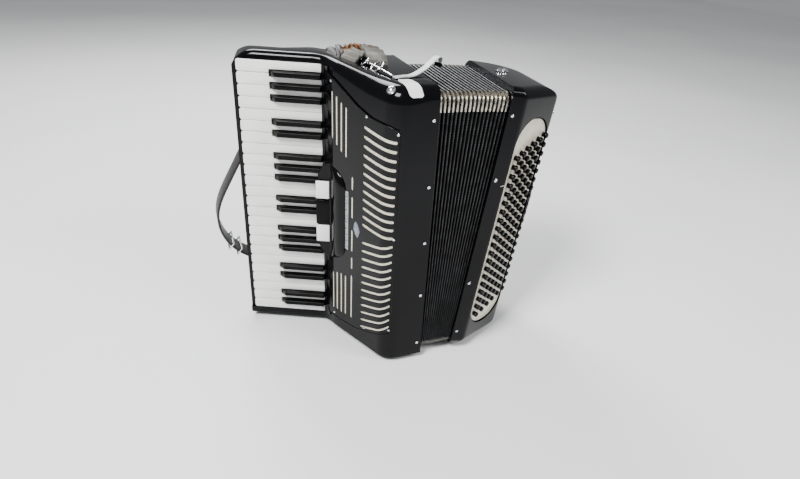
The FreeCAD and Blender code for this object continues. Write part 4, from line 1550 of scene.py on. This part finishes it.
@dataclass
class TopFittings:
    """White sheet of painted reflection, stud, strap rings and snaps on the tops of the two casings."""

    layout: Layout
    palette: Palette
    case: TrebleCase

    def white_plate(self) -> None:
        """Painted reflection: smooth white sheet by the bellows, bent over the rounded front edge, standing
        for a lamp's reflection on the glossy top.
        """
        case, out = self.case, 0.5
        r = case.round_r(-38.0)
        path = [(34.0 - s, CASE_H + out) for s in np.linspace(0, 34.0 + 12.0 - r, 8)]
        path += [(-12.0 + r - (r + out) * math.sin(a), CASE_H - r + (r + out) * math.cos(a))
                 for a in np.linspace(0, math.radians(66), 14)[1:]]
        length = len(path) - 1
        points, columns = [], 13
        for i, (y, z) in enumerate(path):
            along = i / length
            near = min(along, 1 - along) / 0.16
            half = 11.0 - 4.0 * (1 - math.sqrt(max(1 - (1 - min(near, 1.0)) ** 2, 0.0)))
            middle = -42.5 + 6.5 * along
            points += [self.layout.at(middle + half * (2 * k / (columns - 1) - 1), y, z)
                       for k in range(columns)]
        faces = [[i * columns + k, i * columns + k + 1, (i + 1) * columns + k + 1, (i + 1) * columns + k]
                 for i in range(length) for k in range(columns - 1)]
        # the white sheet is a painted reflection laid on the glossy top, not a part of the casing
        plate = mesh_piece("white_plate", points, faces, [self.palette["plate"]], 60.0)
        thick = plate.modifiers.new("thick", "SOLIDIFY")
        thick.thickness = 1.0 * MM
        thick.offset = 0.0
        freeze(plate)
        tidy_mesh(plate, 50.0)
        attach(plate, TREBLE)

    def rings(self, bead: Bead) -> None:
        """Chrome strap bracket with two rings.

        Args:
            bead: Tree that sweeps a round bead along a path.
        """
        bar = [self.layout.at(*p) for p in ((-76, 151, 489.2), (-66, 120, 490.5), (-60, 84, 490.5),
                                            (-55, 50, 489.2))]
        paths = [smooth_path(bar)]
        piece = bead.run("strap_bracket_bar", paths, 2.2, self.palette["chrome"])
        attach(piece, TREBLE)
        loops = []
        for x, y in ((-73, 141), (-62, 100)):
            loops.append([self.layout.at(x + 9 * math.cos(a), y + 14 * math.sin(a),
                                         492.0 + 6.5 * math.cos(a))
                          for a in np.linspace(0, 2 * math.pi, 25)[:-1]])
        piece = bead.run("strap_rings", loops, 1.7, self.palette["chrome"], True)
        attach(piece, TREBLE)

    def build(self, stamp: Stamp, bead: Bead) -> None:
        """Build the fittings.

        Args:
            stamp: Tree that sets copies of a template.
            bead: Tree that sweeps a round bead along a path.
        """
        refined("metal_fittings", self.palette["chrome"], "fittings", TREBLE, 0.4)
        self.white_plate()
        self.rings(bead)
        template = lathe("stud", [(7.0, -0.6), (7.0, 0.8), (5.2, 1.6), (4.6, 4.0), (2.8, 5.2)], 20)
        piece = stamp.place("top_stud", [self.layout.at(-69.4, 9.2, 479.0)], [Vector((-0.5, -0.45, 0.72))],
                            template,
                            self.palette["chrome"])
        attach(piece, TREBLE)
        template = lathe("bass_snap", [(7.5, 0.0), (7.5, 1.0), (5.0, 1.8), (4.4, 4.4), (2.6, 5.4)], 20)
        spots = [self.layout.bass(24, 104, 486.2), self.layout.bass(37, 112, 486.2)]
        piece = stamp.place("bass_top_snap", spots, [Vector((0.15, 0, 1))] * 2, template,
                            self.palette["chrome"])
        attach(piece, BASS)
        template = lathe("pin", [(2.6, -0.6), (2.6, 0.6), (1.6, 1.4)], 12)
        front = (self.layout.bass(0, -1, 0) - self.layout.bass(0, 0, 0)).normalized()
        spots = [self.layout.bass(7, -12.0, z) for z in (443, 335, 139, 35)]
        piece = stamp.place("bass_pins", spots, [front] * 4, template, self.palette["chrome"])
        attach(piece, BASS)
        dash = [self.layout.bass(17, -12.6, 326), self.layout.bass(24, -12.6, 328)]
        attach(bead.run("bass_dash", [dash], 0.9, self.palette["chrome"]), BASS)


@dataclass
class Straps:
    """Leather straps, buckle and the folded strap ends on top."""

    layout: Layout
    palette: Palette

    def build(self, stamp: Stamp, bead: Bead) -> None:
        """Build the straps.

        Args:
            stamp: Tree that sets copies of a template.
            bead: Tree that sweeps a round bead along a path.
        """
        refined("shoulder_straps", self.palette["leather"], "strap", TREBLE, 1.0)
        refined("bass_strap", self.palette["leather"], "strap", BASS, 1.0)
        self.snap_strap(stamp)
        self.strap_ends()
        self.buckle(bead)
        LOG.info("straps")

    def snap_strap(self, stamp: Stamp) -> None:
        """Silver-grey bellows strap with its folded end and the snap under it.

        Args:
            stamp: Tree that sets copies of a template.
        """
        at = self.layout.at
        path = [at(*p) for p in ((-54, 42, 489.0), (-38, 46, 489.2), (-22, 50, 489.6), (2, 66, 495),
                                 (22, 80, 504),
                                 (34, 90, 507.5), (40, 93, 505), (41, 92, 499), (38, 89, 495))]
        side = Vector((-0.42, 0.9, 0))
        strap = ribbon("bellows_strap_shown", smooth_path(path), side, 11.0, 2.2,
                       [self.palette["silver_strap"]])
        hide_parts("bellows_strap")
        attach(strap, "bellows_strap_body")
        template = lathe("snap", [(6.5, 0.0), (6.5, 5.0), (4.5, 6.0)], 18)
        snap = stamp.place("bellows_strap_snap", [at(34.5, 88.0, 493.0)], [Vector((0.2, 0.1, 1))], template,
                           self.palette["ebony"])
        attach(snap, "bellows_strap_body")

    def strap_ends(self) -> None:
        """Worn strap ends folded over each other behind the strap bracket."""
        folds = (("brown", "a", 30, 6.0, 18, ((-102, 168, 489.5), (-92, 172, 496), (-80, 176, 501),
                                              (-64, 180, 497),
                                              (-54, 182, 490))),
                 ("grey", "a", 34, 7.0, 90, ((-70, 204, 490.5), (-62, 190, 503), (-56, 168, 506),
                                             (-52, 146, 502),
                                             (-52, 128, 491))),
                 ("leather", "a", 44, 8.0, 10, ((-122, 188, 490.5), (-108, 188, 495), (-92, 184, 498),
                                                (-74, 180, 496), (-62, 176, 490))),
                 ("grey", "b", 30, 6.0, 40, ((-96, 150, 490), (-86, 156, 499), (-72, 160, 502),
                                             (-60, 160, 499),
                                             (-50, 158, 491))),
                 ("brown", "b", 22, 5.0, 70, ((-86, 192, 496), (-78, 182, 503), (-70, 172, 506),
                                              (-62, 162, 504),
                                              (-60, 150, 497))))
        for tone, mark, width, thick, way, path in folds:
            points = smooth_path([self.layout.at(*p) for p in path], 10)
            for k, p in enumerate(points):
                p.z += 0.9 * MM * math.sin(k * 0.9 + width)
            side = Vector((-math.sin(math.radians(way)), math.cos(math.radians(way)), 0.12))
            piece = ribbon(f"strap_end_{tone}_{mark}", points, side, width, thick, [self.palette[tone]])
            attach(piece, TREBLE)

    def buckle(self, bead: Bead) -> None:
        """Chrome slide buckle on the outer shoulder strap.

        Args:
            bead: Tree that sweeps a round bead along a path.
        """
        at = self.layout.at
        frames = []
        for x, z, lean in ((-296, 130, 0.75), (-282, 117, 0.75)):
            ring = []
            for sy, sx in ((0, -1), (1, -1), (1, 1), (0, 1)):
                ring.append(at(x + sx * 5.5 * lean - 2, 234.0 + 50.0 * sy, z + sx * 5.5))
            frames.append(ring)
        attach(bead.run("strap_buckle", frames, 1.8, self.palette["chrome"], True), TREBLE)


def dress_rest(palette: Palette) -> None:
    """Give the CAD nodes that stay as they are their finishes."""
    for node, tone in (("key_rod", "steel"), ("treble_reed_unit", "spruce"), ("bass_reed_unit", "spruce"),
                       ("rubber_feet", "rubber")):
        mesh = frame["nodes"][node].data
        mesh.materials.clear()
        mesh.materials.append(palette[tone])


def main() -> None:
    """Build the accordion, the light and the camera."""
    logging.basicConfig(level=logging.INFO)
    layout = read_layout()
    palette = Palette(layout)
    stamp, bead = Stamp(), Bead()
    build_stage(layout)
    case = TrebleCase(layout, palette)
    case.build()
    Grille(layout, palette, case).build(stamp, bead)
    Bellows(layout, palette).build()
    BassCase(layout, palette).build(stamp)
    Keys(palette).dress()
    TopFittings(layout, palette, case).build(stamp, bead)
    Straps(layout, palette).build(stamp, bead)
    dress_rest(palette)


if __name__ == "__main__":
    main()
